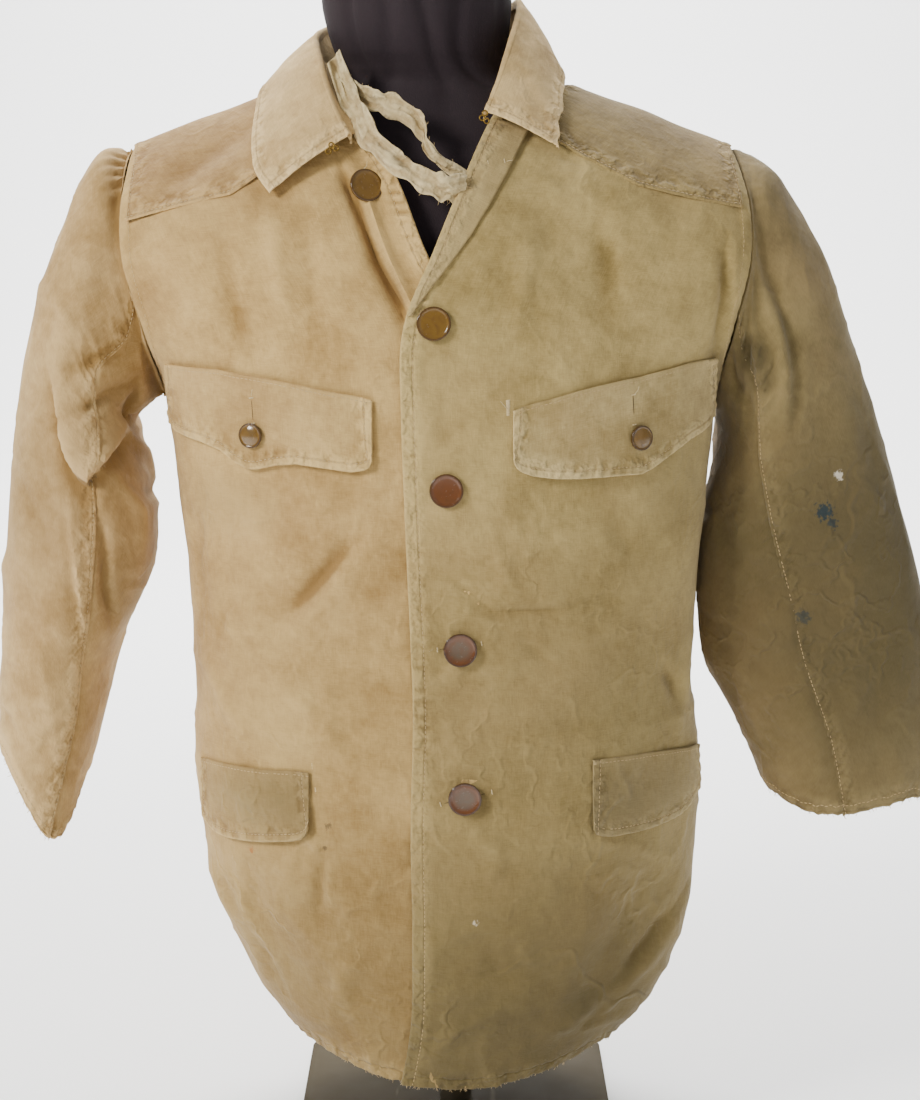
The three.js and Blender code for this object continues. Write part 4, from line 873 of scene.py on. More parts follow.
sleeve_folds = {
    'right': [(0.12, 3.1, 0.1, 0.5, -7), (0.1, 4.6, 0.09, 1.0, 6), (0.3, 4.2, 0.05, 1.6, -4),
              (0.62, 5.0, 0.06, 0.7, -5), (0.75, 5.8, 0.08, 0.5, -5)],
    'left': [(0.3, 2.6, 0.05, 1.8, -4), (0.14, 3.0, 0.07, 0.8, -3), (0.62, 4.8, 0.06, 0.8, -5),
             (0.75, 5.6, 0.07, 0.6, -5), (0.91, 1.9, 0.085, 1.2, 24), (0.93, 4.6, 0.08, 1.6, 6),
             (0.97, 5.6, 0.1, 1.3, 3)],
}
drop_turn = math.radians(68)


def armhole_point(hand, turn, lift=0.0):
    """The body's armhole edge at a share of the way round, from the underarm over the front."""
    on_front = turn <= 0.5
    climb = np.minimum(np.where(on_front, turn * 2, (1 - turn) * 2), 1) ** 1.35
    at = armpit_row + (shoulder_row - armpit_row) * climb
    sign = -1 if hand == 'right' else 1
    front = body_point('front', sign * arm_angle('front', at), at, lift)
    back = body_point('back', sign * arm_angle('back', at), at, lift)
    return np.where(on_front[..., None], front, back)


def sleeve_ring_point(hand, turn, row):
    """A point of one of a sleeve's rings. Ring 0 is the armhole."""
    rings = sleeve_rings[hand]
    ring = np.clip(row, 1, sleeve_last) - 1
    angle = turn * 2 * math.pi
    inward, forward = np.cos(angle), np.sin(angle)
    pick = {name: column[ring] for name, column in rings.items()}
    half_x = (pick['outer_x'] - pick['inner_x']) / 2
    half_z = (pick['outer_z'] - pick['inner_z']) / 2
    drop = pick['front_drop'] * np.maximum(np.cos(angle - drop_turn), 0) ** 3
    point = np.stack([
        pick['inner_x'] + half_x * (1 - inward),
        pick['middle_y'] - pick['half_depth'] * np.sign(forward) * np.abs(forward) ** 0.9,
        pick['inner_z'] + half_z * (1 - inward) - drop], axis=-1)
    sign = -1 if hand == 'right' else 1
    head = armhole_point(hand, turn) + np.array([sign * seam_gap * 1.5, 0, 0.1])
    return np.where((row < 1)[..., None], head, point)


def sleeve_middle(hand, at):
    rings = sleeve_rings[hand]
    row = np.clip(at - 1, 0, sleeve_last - 1)
    inward = np.clip(1 - at, 0, 1) * (20 if hand == 'right' else -20)
    x = (row_value(rings['inner_x'], row) + row_value(rings['outer_x'], row)) / 2 + inward
    z = (row_value(rings['inner_z'], row) + row_value(rings['outer_z'], row)) / 2
    return np.stack([x, row_value(rings['middle_y'], row), z], axis=-1)


def sleeve_surface(hand, turn, at):
    wrapped = turn - np.floor(turn)
    row = np.clip(np.floor(at), 0, sleeve_last - 1).astype(int)
    rings = [sleeve_ring_point(hand, wrapped, np.clip(row + step, 0, sleeve_last))
             for step in (-1, 0, 1, 2)]
    point = smooth_through(*rings, (at - row)[..., None])
    away = unit(point - sleeve_middle(hand, at))
    return point + away * sleeve_fold_height(hand, wrapped, at)[..., None]


def sleeve_fold_height(hand, turn, at):
    height = np.zeros_like(at)
    for fold_turn, fold_row, turn_width, row_width, depth in sleeve_folds[hand]:
        apart = np.abs(turn - fold_turn)
        aside = np.minimum(apart, 1 - apart) / turn_width
        height = height + depth * np.exp(-aside ** 2 - ((at - fold_row) / row_width) ** 2)
    return height


def sleeve_point(hand, turn, at, lift=0.0):
    """A sleeve's outer face by the share of the way round and the row, moved out by a lift."""
    turn, at, lift = [np.array(value, float) for value in np.broadcast_arrays(turn, at, lift)]
    step, row = 0.004, 0.03
    around = sleeve_surface(hand, turn + step, at) - sleeve_surface(hand, turn - step, at)
    low = np.maximum(at - row, 0)
    along = sleeve_surface(hand, turn, np.minimum(at + row, sleeve_last)) - sleeve_surface(hand, turn, low)
    normal = np.cross(around, along) if hand == 'right' else np.cross(along, around)
    return sleeve_surface(hand, turn, at) + unit(normal) * lift[..., None]


# Front seam of each sleeve: its row and the share of the way round
sleeve_seams = {
    'right': table_columns(['row', 'turn'],
                           [(0, 0.17), (1, 0.175), (3, 0.185), (4.5, 0.19), (5.8, 0.182), (6.8, 0.15),
                                             (7.3, 0.143), (8, 0.152), (8.6, 0.19), (9, 0.203)]),
    'left': table_columns(['row', 'turn'], [(0, 0.15), (1.8, 0.163), (3.3, 0.149), (4.3, 0.17), (5.5, 0.192),
                                            (6.4, 0.209), (7.4, 0.22), (9, 0.228)]),
}
seam_behind = 0.8
# The under piece runs on by this lap under the top piece's edges, in mm, as in a felled seam
under_lap = 6.0
# The way round and one row of the rings, in mm, for the folds
round_mm, row_mm = 330, 48
# Gathers at the right sleeve's head: share of the way round, and height in mm
gather_places = [(0.335, 2.6), (0.36, 3.4), (0.384, 3.2), (0.41, 2.6), (0.44, 1.6)]
# Creases of the sleeves by share of the way round and row, with half width in mm, depth and lean
sleeve_creases = {
    'right': [
        ([(0.29, 3.95), (0.228, 3.45), (0.169, 2.82), (0.118, 1.67), (0.1, 1.0)], 4.5, -3.4, -0.5),
        ([(0.29, 3.32), (0.219, 2.62), (0.176, 1.76), (0.14, 0.7)], 7, -2.4, -0.5),
        ([(0.33, 2.9), (0.27, 2.2), (0.22, 1.4)], 9, 2.0, 0.4),
        ([(0.068, 2.1), (0.021, 1.69), (-0.004, 1.25)], 6, -4.0, 0.3),
        ([(0.176, 4.62), (0.167, 4.96), (0.144, 5.72), (0.113, 6.17), (0.08, 6.48)], 5.5, -4.0, 0.4),
        ([(0.259, 4.6), (0.25, 4.8), (0.236, 5.3), (0.216, 5.9), (0.185, 6.4), (0.155, 6.84)], 4, 1.6, -0.6),
        ([(0.057, 2.64), (-0.05, 3.3), (-0.07, 4.4)], 9, 3.0, 0.3),
        ([(0.133, 3.95), (0.09, 4.3), (0.1, 5.2)], 8, 2.6, -0.3),
        ([(0.5, 8.6), (0.38, 8.0), (0.257, 7.54), (0.201, 7.34)], 5, 1.6, 0.5),
        ([(0.274, 8.31), (0.223, 7.88), (0.183, 7.68)], 5, -1.8, 0.4),
        ([(0.215, 4.1), (0.17, 3.6), (0.12, 3.2)], 5, 1.6, 0.4),
        ([(0.24, 4.0), (0.2, 3.7), (0.16, 3.4)], 4, -1.2, 0.3),
        ([(0.097, 0.93), (0.06, 1.6), (0.05, 2.3)], 9, -5.0, 0.3),
        ([(0.194, 1.67), (0.25, 2.6), (0.29, 3.6)], 16, -2.6, 0.3),
        ([(0.30, 1.2), (0.293, 2.0), (0.297, 3.0)], 12, 1.8, 0),
        ([(0.459, 2.82), (0.36, 2.4), (0.257, 2.1)], 9, 1.5, 0.4),
        ([(0.5, 8.5), (0.38, 8.1), (0.268, 8.31)], 7, -1.8, 0.4),
        ([(0.272, 6.89), (0.23, 7.5), (0.191, 8.13)], 8, 1.4, 0.2),
        ([(0.46, 4.6), (0.36, 4.9), (0.29, 5.3)], 9, -1.6, 0.3),
        ([(0.52, 6.2), (0.44, 6.0), (0.34, 6.3)], 9, 1.3, 0.3),
        ([(0.9, 4.4), (0.97, 4.1), (1.05, 4.0)], 9, -3.0, 0.5),
        ([(0.62, 5.1), (0.7, 4.8), (0.8, 4.9)], 9, -2.6, 0.4),
        ([(0.64, 2.4), (0.72, 2.9), (0.82, 2.6)], 11, -2.0, 0.3),
        ([(0.6, 6.9), (0.7, 7.2), (0.82, 6.8)], 9, 1.8, 0.3),
        ([(0.88, 6.3), (0.94, 7.0), (0.98, 7.8)], 8, 1.6, 0.3),
    ],
    'left': [
        ([(0.28, 0.6), (0.27, 1.6), (0.255, 2.6), (0.235, 3.55)], 8, 3.4, -0.7),
        ([(0.225, 0.5), (0.198, 1.25), (0.178, 1.8), (0.16, 3.0), (0.158, 3.6)], 6, 2.6, 0.3),
        ([(0.1, 0.2), (0.1, 0.9), (0.12, 1.7), (0.128, 2.6)], 7, -3.6, 0.3),
        ([(0.178, 0.91), (0.216, 1.76), (0.225, 2.26), (0.198, 2.33)], 4.5, -1.8, 0.3),
        ([(-0.013, 6.1), (0.104, 6.35), (0.16, 6.68), (0.203, 6.82)], 5, 1.6, 0.5),
        ([(0.04, 6.5), (0.11, 6.9), (0.17, 7.2)], 7, -1.6, 0.3),
        ([(0.104, 5.14), (0.15, 5.7), (0.207, 6.33)], 7, -1.5, 0.5),
        ([(0.026, 3.74), (0.06, 4.6), (0.1, 5.31)], 8, -1.8, 0.3),
        ([(0.077, 6.01), (0.1, 6.8), (0.133, 7.49)], 8, 1.6, 0.2),
        ([(0.272, 6.89), (0.31, 6.3), (0.338, 5.88)], 9, 1.2, 0.3),
        ([(0.472, 1.54), (0.45, 2.4), (0.46, 3.31)], 12, 1.6, 0),
        ([(0.319, 6.84), (0.31, 7.6), (0.302, 8.28)], 9, -1.2, 0),
        ([(0.2, 7.47), (0.19, 8.0), (0.189, 8.44)], 7, 1.2, 0.2),
        ([(0.36, 3.4), (0.4, 4.2), (0.38, 5.0)], 12, -1.3, 0.2),
        ([(0.62, 4.9), (0.7, 4.6), (0.8, 4.8)], 9, -2.6, 0.4),
        ([(0.9, 4.2), (0.97, 4.5), (1.04, 4.3)], 9, -2.2, 0.4),
        ([(0.64, 2.2), (0.72, 2.7), (0.82, 2.4)], 11, -2.0, 0.3),
        ([(0.6, 6.8), (0.7, 7.1), (0.82, 6.7)], 9, 1.8, 0.3),
        ([(0.88, 6.0), (0.94, 6.8), (0.98, 7.6)], 8, 1.5, 0.3),
    ],
}


# Lower edge of the right sleeve's pouch, from the outer arm down round to the inner arm
pouch_edge = [(0.33, 3.3), (0.286, 3.75), (0.277, 3.95), (0.259, 4.2), (0.236, 4.32), (0.21, 4.3),
              (0.189, 4.03),
              (0.149, 3.59), (0.1, 3.2), (0.07, 2.9)]


def pouch_height(turn, row):
    """The upper arm's cloth hanging over: full above its edge, and drawn in sharply below it."""
    turn = np.where(turn > 0.62, turn - 1, turn)
    a, b = turn * round_mm, row * row_mm
    edge_a, edge_b = np.array(pouch_edge).T * [[round_mm], [row_mm]]
    order = np.argsort(edge_a)
    above = np.interp(a, edge_a[order], edge_b[order]) - b
    low_a, high_a = edge_a.min(), edge_a.max()
    span = smooth_step(low_a - 14, low_a + 22, a) * smooth_step(high_a + 6, high_a - 26, a)
    full = 8.5 * (1 - np.exp(-np.maximum(above, 0) / 3.4)) * np.exp(-(above / 44) ** 2) * (above > 0)
    drawn_in = -5.5 * np.exp(-(above / 16) ** 2) * smooth_step(2.5, -2.0, above)
    return (full + drawn_in) * span


def sleeve_relief(hand, half, seed):
    def relief(u, v, flat, way):
        turn = sleeve_turn(hand, half, u, v)
        a, b = turn * round_mm, v * row_mm
        height = 1.1 * uneven(a, b, 52, seed) + 0.5 * uneven(a, b, 20, seed + 1)
        height += 1.3 * crumple(a, b * 0.8, 42, seed + 3) + 0.7 * crumple(a * 0.8, b, 18, seed + 4)
        for path, width, depth, lean in sleeve_creases[hand]:
            for lap in (-1, 0, 1):
                places = [((share + lap) * round_mm, row * row_mm) for share, row in path]
                height += 1.5 * crease(a, b, places, width * 0.9, depth, lean)
        height *= smooth_step(0, 0.3, v)
        for border in 'ab':
            height *= smooth_step(0, 8, way[border]) * 0.7 + 0.3
        if hand == 'right':
            height += pouch_height(turn, v)
            for place, size in gather_places:
                away = (turn - place - 0.02 * v) * round_mm
                fade = smooth_step(0, 0.1, v) * smooth_step(1.3, 0.15, v)
                height += size * fade * (np.exp(-(away / 2.6) ** 2) - 0.3)
        depth = 0.8 if half == 'top' else 0.45
        height += puckers(way, 'a' if half == 'top' else 'b', depth, 8, 6, 8, seed + 5)
        height += puckers(way, 'd', 0.6, 10, 5, 7, seed + 6) + welt(way, 'c', 6, 0.4)
        if half == 'under':
            for border in 'ab':
                lapped = smooth_step(under_lap + 1.2, under_lap - 0.6, way[border])
                height -= (cloth_thickness + 0.15) * lapped
        return height
    return relief


def sleeve_turn(hand, half, u, v):
    """The share of the way round a sleeve at a place across one of its two pieces."""
    front = sum(np.interp(v + shift, sleeve_seams[hand]['row'], sleeve_seams[hand]['turn'])
                for shift in (-0.4, 0, 0.4)) / 3
    lap = under_lap / round_mm
    first, last = (front, seam_behind) if half == 'top' else (seam_behind - lap, 1 + front + lap)
    return first + (last - first) * u


def sleeve_panel(hand, half):
    """The sleeve's surface, started clear of the body's edge where the two are sewn together."""
    clear = np.array([-0.9 if hand == 'right' else 0.9, 0, 0])

    def surface(u, v, lift):
        start = smooth_step(0.35, 0, v)[..., None]
        turn = sleeve_turn(hand, half, u, v)
        return sleeve_point(hand, turn, v, lift - 0.35 * start[..., 0]) + clear * start
    return surface


ink = dyed(36, 52, 58)
khaki_sleeve_right = khaki_cotton('khaki_sleeve_right', dyed(212, 178, 122), dyed(146, 114, 64), (2.6,), 29.3)
# Painted shade: the left sleeve is a much darker copy of the sleeve khaki, for the side away from the key
# light; its ink and pale spots are real stains.
khaki_sleeve_left = khaki_cotton('khaki_sleeve_left', dyed(146, 128, 86), dyed(90, 77, 44), (2.6,), 33.7, [
    ((0.2565, -0.042, 0.46), 0.0075, ink, 0.9), ((0.262, -0.042, 0.452), 0.005, ink, 0.75),
    ((0.244, -0.039, 0.385), 0.006, ink, 0.6), ((0.266, -0.04, 0.485), 0.0042, dyed(220, 210, 190), 0.8)])
# Each piece's cut: width and length in metres, area in square metres, and how it is held
sleeve_cuts = {('right', 'top'): ((0.299, 0.454), 0.091, 'gathered'),
               ('right', 'under'): ((0.22, 0.4), 0.0497, 'hung'),
               ('left', 'top'): ((0.294, 0.502), 0.1, 'hung'),
               ('left', 'under'): ((0.209, 0.387), 0.0521, 'hung')}
# Painted shade on the sleeves, in the crevices at the armpits, between sleeve and body, around the right
# sleeve's pouch and over the left sleeve away from the key light: its middle, its half sizes and how dark it
# is
sleeve_painted_shade = {
    'right': [((-232, -40, 520), (36, 60, 46), 0.3), ((-232, -30, 400), (26, 60, 70), 0.3),
              ((-285, -30, 470), (60, 70, 120), 0.2)],
    'left': [((204, -44, 567), (15, 30, 20), 0.9), ((209, -45, 552), (15, 30, 16), 0.6),
             ((196, -24, 487), (26, 60, 80), 0.35), ((280, -40, 400), (150, 120, 190), 0.75)],
}
sleeves = {}
for hand, finish in (('right', khaki_sleeve_right), ('left', khaki_sleeve_left)):
    painted_shade = patches_of_painted_shade(sleeve_painted_shade[hand])
    for half, wide, seed in (('top', 225, 101), ('under', 135, 111)):
        seed += 40 if hand == 'left' else 0
        panel = frayed(sleeve_panel(hand, half), 0.11, seed + 8, 3.4, last=True)
        rows = row_shares(sleeve_panel(hand, half), (0, sleeve_last), 0.5, 2.9)
        sleeves[hand, half] = cloth(f'sleeve_cloth_{hand}_{half}', panel, spaced(wide, 2.8), rows,
                                    cloth_thickness, finish,
                                    'khaki_warm' if hand == 'right' else 'khaki_sleeve',
                                    sleeve_relief(hand, half, seed), painted_shade,
                                    stitched='ad' if half == 'top' else 'd')
        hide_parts(f'sleeve_{hand}_{half}')
        cut, cut_area, held = sleeve_cuts[hand, half]

# Collar. A turned-down collar of one piece of cotton twill on a low stand. It is worn through at
# its left end, where the edge is frayed, and it is sewn to the neck edges only.
# Each row of the rings is a roll point, then the X, row and side of the edge below it, and then
# the side and row of the neck edge that the stand is sewn to.
collar_rings = [
    (-71, -73, 714, -121, 8.85, 'front', 'right', 9.5), (-82, -62, 735, -133, 9.35, 'front', 'right', 10),
    (-92, -38, 763, -136, 10.5, 'front', 'right', 11), (-98, 6, 785, -130, 11.9, 'front', 'right', 11.99),
    (-82, 50, 795, -104, 10.6, 'back', 'back', -0.6), (-25, 70, 801, -22, 9.8, 'back', 'back', 0),
    (33, 50, 807, 58, 10.6, 'back', 'back', 0.6), (46, 6, 807, 72, 11.9, 'front', 'left', 11.99),
    (39, -34, 779, 72, 11, 'front', 'left', 11), (30, -52, 752, 70, 10.1, 'front', 'left', 10.3),
    (21, -63, 730, 68, 9.5, 'front', 'left', 9.85),
]
collar_thickness = 1.6
collar_bulge = 2.6
collar_depth = 62.0
roll_radius = 1.7
roll_inside = 10.0
collar_lift = 5
neck_middle = np.array([-20.0, 0.0, 760.0])
collar_roll = np.array([row[:3] for row in collar_rings], float)
collar_edge = []
collar_seam = []
for _, _, _, edge_x, edge_row, edge_side, seam_hand, seam_at in collar_rings:
    edge_angle = angle_at_x(edge_side, edge_x, edge_row)
    collar_edge.append(body_point(edge_side, edge_angle, edge_row, collar_lift))
    collar_seam.append(back_point(np.array(seam_at), np.array(float(shoulder_row))) if seam_hand == 'back'
                       else front_point(seam_hand, np.array(0.0), np.array(float(seam_at))))
collar_edge, collar_seam = np.array(collar_edge), np.array(collar_seam)


def along_rings(table, at):
    return np.stack([row_value(table[:, axis], at) for axis in range(3)], axis=-1)


def out_from_neck(roll):
    """The level way out from the neck's middle at points of the roll."""
    outward = roll - neck_middle
    outward[..., 2] = 0
    return unit(outward)


def collar_fall_form(u, v):
    """u runs round the neck from the right end to the left one, and v down from the roll."""
    roll, edge = along_rings(collar_roll, u), along_rings(collar_edge, u)
    outward = out_from_neck(roll)
    swell = collar_bulge * np.sin(math.pi * np.clip(v, 0, 1)) ** 0.8
    point = roll + (edge - roll) * np.maximum(v, 0)[..., None] + outward * (0.8 * swell)[..., None]
    over = np.maximum(-v, 0) * collar_depth
    turn = np.minimum(over / roll_radius, math.pi)
    point -= outward * (roll_radius * (1 - np.cos(turn)))[..., None]
    point[..., 2] += swell * 0.6 + roll_radius * np.sin(turn) - (over - turn * roll_radius)
    return point


def collar_stand_form(u, v):
    """The stand, from the neck seam at v 0 to just inside the roll at v 1."""
    roll, seam = along_rings(collar_roll, u), along_rings(collar_seam, u)
    outward = out_from_neck(roll)
    up = np.array([0, 0, 1.0])
    low = seam + up * 1.4 - outward * 0.6
    high = roll - outward * 2.2 - up * 1.4
    return low + (high - low) * v[..., None]


def lifted(form, away_from, last_u):
    """A form moved out by a lift, square to it and away from a point."""
    def surface(u, v, lift):
        step = 0.01
        across = form(np.minimum(u + step, last_u), v) - form(np.maximum(u - step, 0), v)
        down = form(u, v + step) - form(u, v - step)
        return form(u, v) + unit(np.cross(across, down)) * (facing * lift)[..., None]

    facing = 1.0
    middle = np.full((1, 1), last_u / 2), np.full((1, 1), 0.5)
    moved = surface(*middle, np.ones((1, 1))) - form(*middle)
    facing = float(np.sign(np.sum(moved * (form(*middle) - away_from))))
    return surface


def collar_relief(seed):
    def relief(u, v, flat, way):
        height = 0.4 * uneven(way['a'], way['c'], 22, seed) + 0.22 * uneven(way['a'], way['c'], 9, seed + 1)
        height += crease(u, v, [(0.3, 0.2), (0.6, 0.5), (0.5, 0.9)], 0.14, 0.9, 0.3)
        height += crease(u, v, [(8.6, 0.3), (9.1, 0.6), (9.6, 0.8)], 0.14, -0.9, 0.3)
        for border in 'abd':
            height += puckers(way, border, 0.3, 7, 4, 4, seed + 3) + welt(way, border, 6, 0.4)
        return height
    return relief


fall_surface = lifted(collar_fall_form, neck_middle, 10)


def collar_fall_surface(u, v, lift):
    """The fall with its lower edge, worn away in small scallops at its left end."""
    worn = smooth_step(7.4, 9.0, u)
    rag = 0.5 + 0.3 * uneven(u * 26, u * 0, 3.1, 123) + 0.35 * np.sin(u * 8.5)
    short = 1 - worn * 0.075 * rag * smooth_step(0.5, 1, v)
    return fall_surface(u, v * short, lift + collar_thickness / 2)


khaki_collar = khaki_cotton('khaki_collar', dyed(232, 200, 142), dyed(164, 132, 80), (5.0,), 37.1)
fall_rows = np.concatenate([-roll_inside + spaced(roll_inside, 0.7, (0.4, 1, 1.6))[:-1] * roll_inside,
                            spaced(collar_depth, 2.0, (0.7, 1.4, 2.2)) * collar_depth]) / collar_depth
collar_fall = cloth('collar_fall_cloth', collar_fall_surface, 10 * spaced(430, 2.4), fall_rows,
                    collar_thickness, khaki_collar, 'khaki_collar', collar_relief(121), stitched='abd',
                    bevel=0.8)
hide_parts('collar_fall')
stand_surface = lifted(collar_stand_form, neck_middle, 10)
stand_thickness = 1.2
collar_stand = cloth('collar_stand_cloth', lambda u, v, lift: stand_surface(u, v, lift + stand_thickness / 2),
                     0.3 + 9.2 * spaced(360, 3.2), spaced(34, 2.4), stand_thickness, khaki_collar,
                     'khaki_collar',
                     lambda u, v, flat, way: 0.25 * uneven(way['a'], way['c'], 14, 131), stitched='c',
                     bevel=0.5)
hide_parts('collar_stand')

# Torn neck lining. A strip of thin plain cotton has come away from the collar and hangs in a loop
# across the neck opening, with a second, narrower fold of it behind.
strip_columns = 'x y z half_width lean'.split()
strip_runs = {
    'collar_lining_strip': table_columns(strip_columns, [
        (-82, -39, 768, 7, 0.5), (-75, -48, 750, 8.5, 0.5), (-66, -60, 731, 9.5, 0.6),
        (-57, -73, 715, 9.5, 0.7),
        (-43, -84, 701, 8.5, 0.8), (-27, -91, 689, 8.5, 0.9), (-12, -94, 682, 9, 0.95), (-2, -93, 680, 10, 1),
        (7, -90, 680, 10, 1)]),
    'upper_lining_loop': table_columns(strip_columns, [
        (-76, -44, 756, 4.0, 0.7), (-66, -51, 746, 5.0, 0.75), (-56, -57, 739, 7.0, 0.8),
        (-46, -62, 736, 8.5, 0.8), (-32, -67, 729, 9.0, 0.85), (-22, -71, 720, 8.0, 0.85),
        (-20, -76, 710, 5.0, 0.85), (-13, -80, 701, 5.5, 0.9), (-3, -82, 693, 5.0, 0.9),
        (8, -82, 688, 4.0, 0.9)]),
}
strip_thickness = {'collar_lining_strip': 1.2, 'upper_lining_loop': 0.7}


def strip_form(name, seed):
    run = strip_runs[name]
    count = len(run['x']) - 1

    def form(u, v):
        """u runs along the strip and v across it, both from 0 to 1."""
        pick = {column: row_value(values, u * count) for column, values in run.items()}
        across = pick['half_width'] * (v * 2 - 1)
        across = across * (1 + 0.22 * uneven(u * 150, u * 0, 9, seed + 151))
        fold = 1.6 * np.cos(4.4 * v + 1.3 * u * count) + 1.3 * np.cos(8.3 * v - 0.8 * u * count + seed)
        return np.stack([pick['x'] + across * (1 - pick['lean']) * 1.2,
                         pick['y'] - fold - 0.8,
                         pick['z'] + across * np.sqrt(pick['lean'])], axis=-1)
    return form


def strip_relief(u, v, flat, way):
    height = 0.8 * uneven(way['a'] * 0.35, way['c'], 3.6, 141) + 0.8 * uneven(way['a'], way['c'], 7, 142)
    return height + 0.45 * np.sin(way['c'] * 1.2 + 3 * uneven(way['a'], way['c'] * 0.3, 12, 143))


lining_cotton = khaki_cotton('lining_cotton', dyed(216, 198, 150), dyed(160, 138, 96), (), 41.3)
strips = {}
for seed, name in enumerate(strip_runs):
    form = lifted(strip_form(name, seed), neck_middle, 1)
    half = strip_thickness[name] / 2
    strips[name] = cloth(f'{name}_cloth', lambda u, v, lift: form(u, v, lift + half),
                         spaced(150, 1.6, (0.5, 1, 1.6)),
                         spaced(16, 0.9, (0.25, 0.6, 1.1)), strip_thickness[name], lining_cotton, 'lining',
                         strip_relief, bevel=0.4)
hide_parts('collar_lining_strip')

# Buttons. Turned amber-brown discs with a raised rim and a hollow face. Each is held by a thread
# shank. The pocket ones are domed, the two lowest on the front are worn grey, and the top one is undone.


def button_finish(name, middle, rim, grey):
    """Glossy button stock. out_from_middle is the way out from the middle, as a share of the radius."""
    material, shader, place = new_finish(name, {'Coat Weight': 0.6, 'Coat Roughness': 0.1})
    out = place.node('ShaderNodeAttribute', {'attribute_name': 'out_from_middle'}, out=2)
    swirl = place.noise(110, 4.0, 0.6, distortion=1.6)
    face = (swirl.band(0.45, 0.8) * 0.5).tint(middle, rim)
    worn = (1 - out.band(0.3, 0.85)) * (swirl * 1.3 + 0.1) * grey
    face = worn.tint(face, dyed(88, 78, 62))
    (out.band(0.8, 0.9) * 0.8).tint(face, rim).into(shader, 'Base Color')
    (0.15 + place.noise(420, 3.0).band(0.45, 0.8) * 0.2).into(shader, 'Roughness')
    (place.noise(260, 3.0) * 0.00012).bump(shader, 0.5)
    return material


def thread_finish(name, pale, deep):
    material, shader, place = new_finish(name, {'Roughness': 0.85})
    place.noise(90, 3.0).tint(deep, pale).into(shader, 'Base Color')
    (place.noise(2600, 2.0, 0.5, (1, 1, 0.4)) * 0.00015).bump(shader, 0.6)
    return material


def eased(piece, width, segments, least_angle):
    """Eases the sharp edges of the piece at hand, in metres and degrees, and smooths its shading."""
    soften = piece.modifiers.new('eased_edge', 'BEVEL')
    soften.width = width
    soften.segments = segments
    soften.limit_method = 'ANGLE'
    soften.angle_limit = math.radians(least_angle)
    bpy.ops.object.modifier_apply(modifier='eased_edge')
    bpy.ops.object.shade_smooth_by_angle(angle=math.radians(40))

seam_thread = thread_finish('seam_thread', dyed(214, 188, 140), dyed(162, 134, 90))
pale_thread = thread_finish('pale_thread', dyed(230, 212, 168), dyed(184, 162, 118))


ochre, ochre_rim = dyed(110, 80, 20), dyed(70, 46, 12)
red_brown, dark_rim = dyed(98, 56, 18), dyed(58, 36, 12)
# Node, hand, X, Z, radius, thickness, seat, depth of the hollow face, middle, rim, grey
button_rows = [
    ('front_button_1', 'right', -61, 681, 11.5, 3.6, 2.2, 0.2, ochre, ochre_rim, 0.0),
    ('front_button_2', 'left', -14, 593, 11.5, 3.6, 0.5, 0.2, ochre, ochre_rim, 0.0),
    ('front_button_3', 'left', -6, 485, 11.5, 3.6, 0.5, 0.3, red_brown, ochre_rim, 0.0),
    ('front_button_4', 'left', 3, 379, 11.5, 3.6, 0.5, 0.35, red_brown, dark_rim, 0.9),
    ('front_button_5', 'left', 6, 278, 11.5, 3.6, 0.5, 0.35, red_brown, dark_rim, 0.95),
    ('pocket_button_right', 'right', -134, 519, 8.6, 3.0, 0.5, -1.3, ochre, dark_rim, 0.35),
    ('pocket_button_left', 'left', 121, 517, 8.6, 3.0, 0.5, -1.2, ochre, dark_rim, 0.0),
]
face_rings = 6
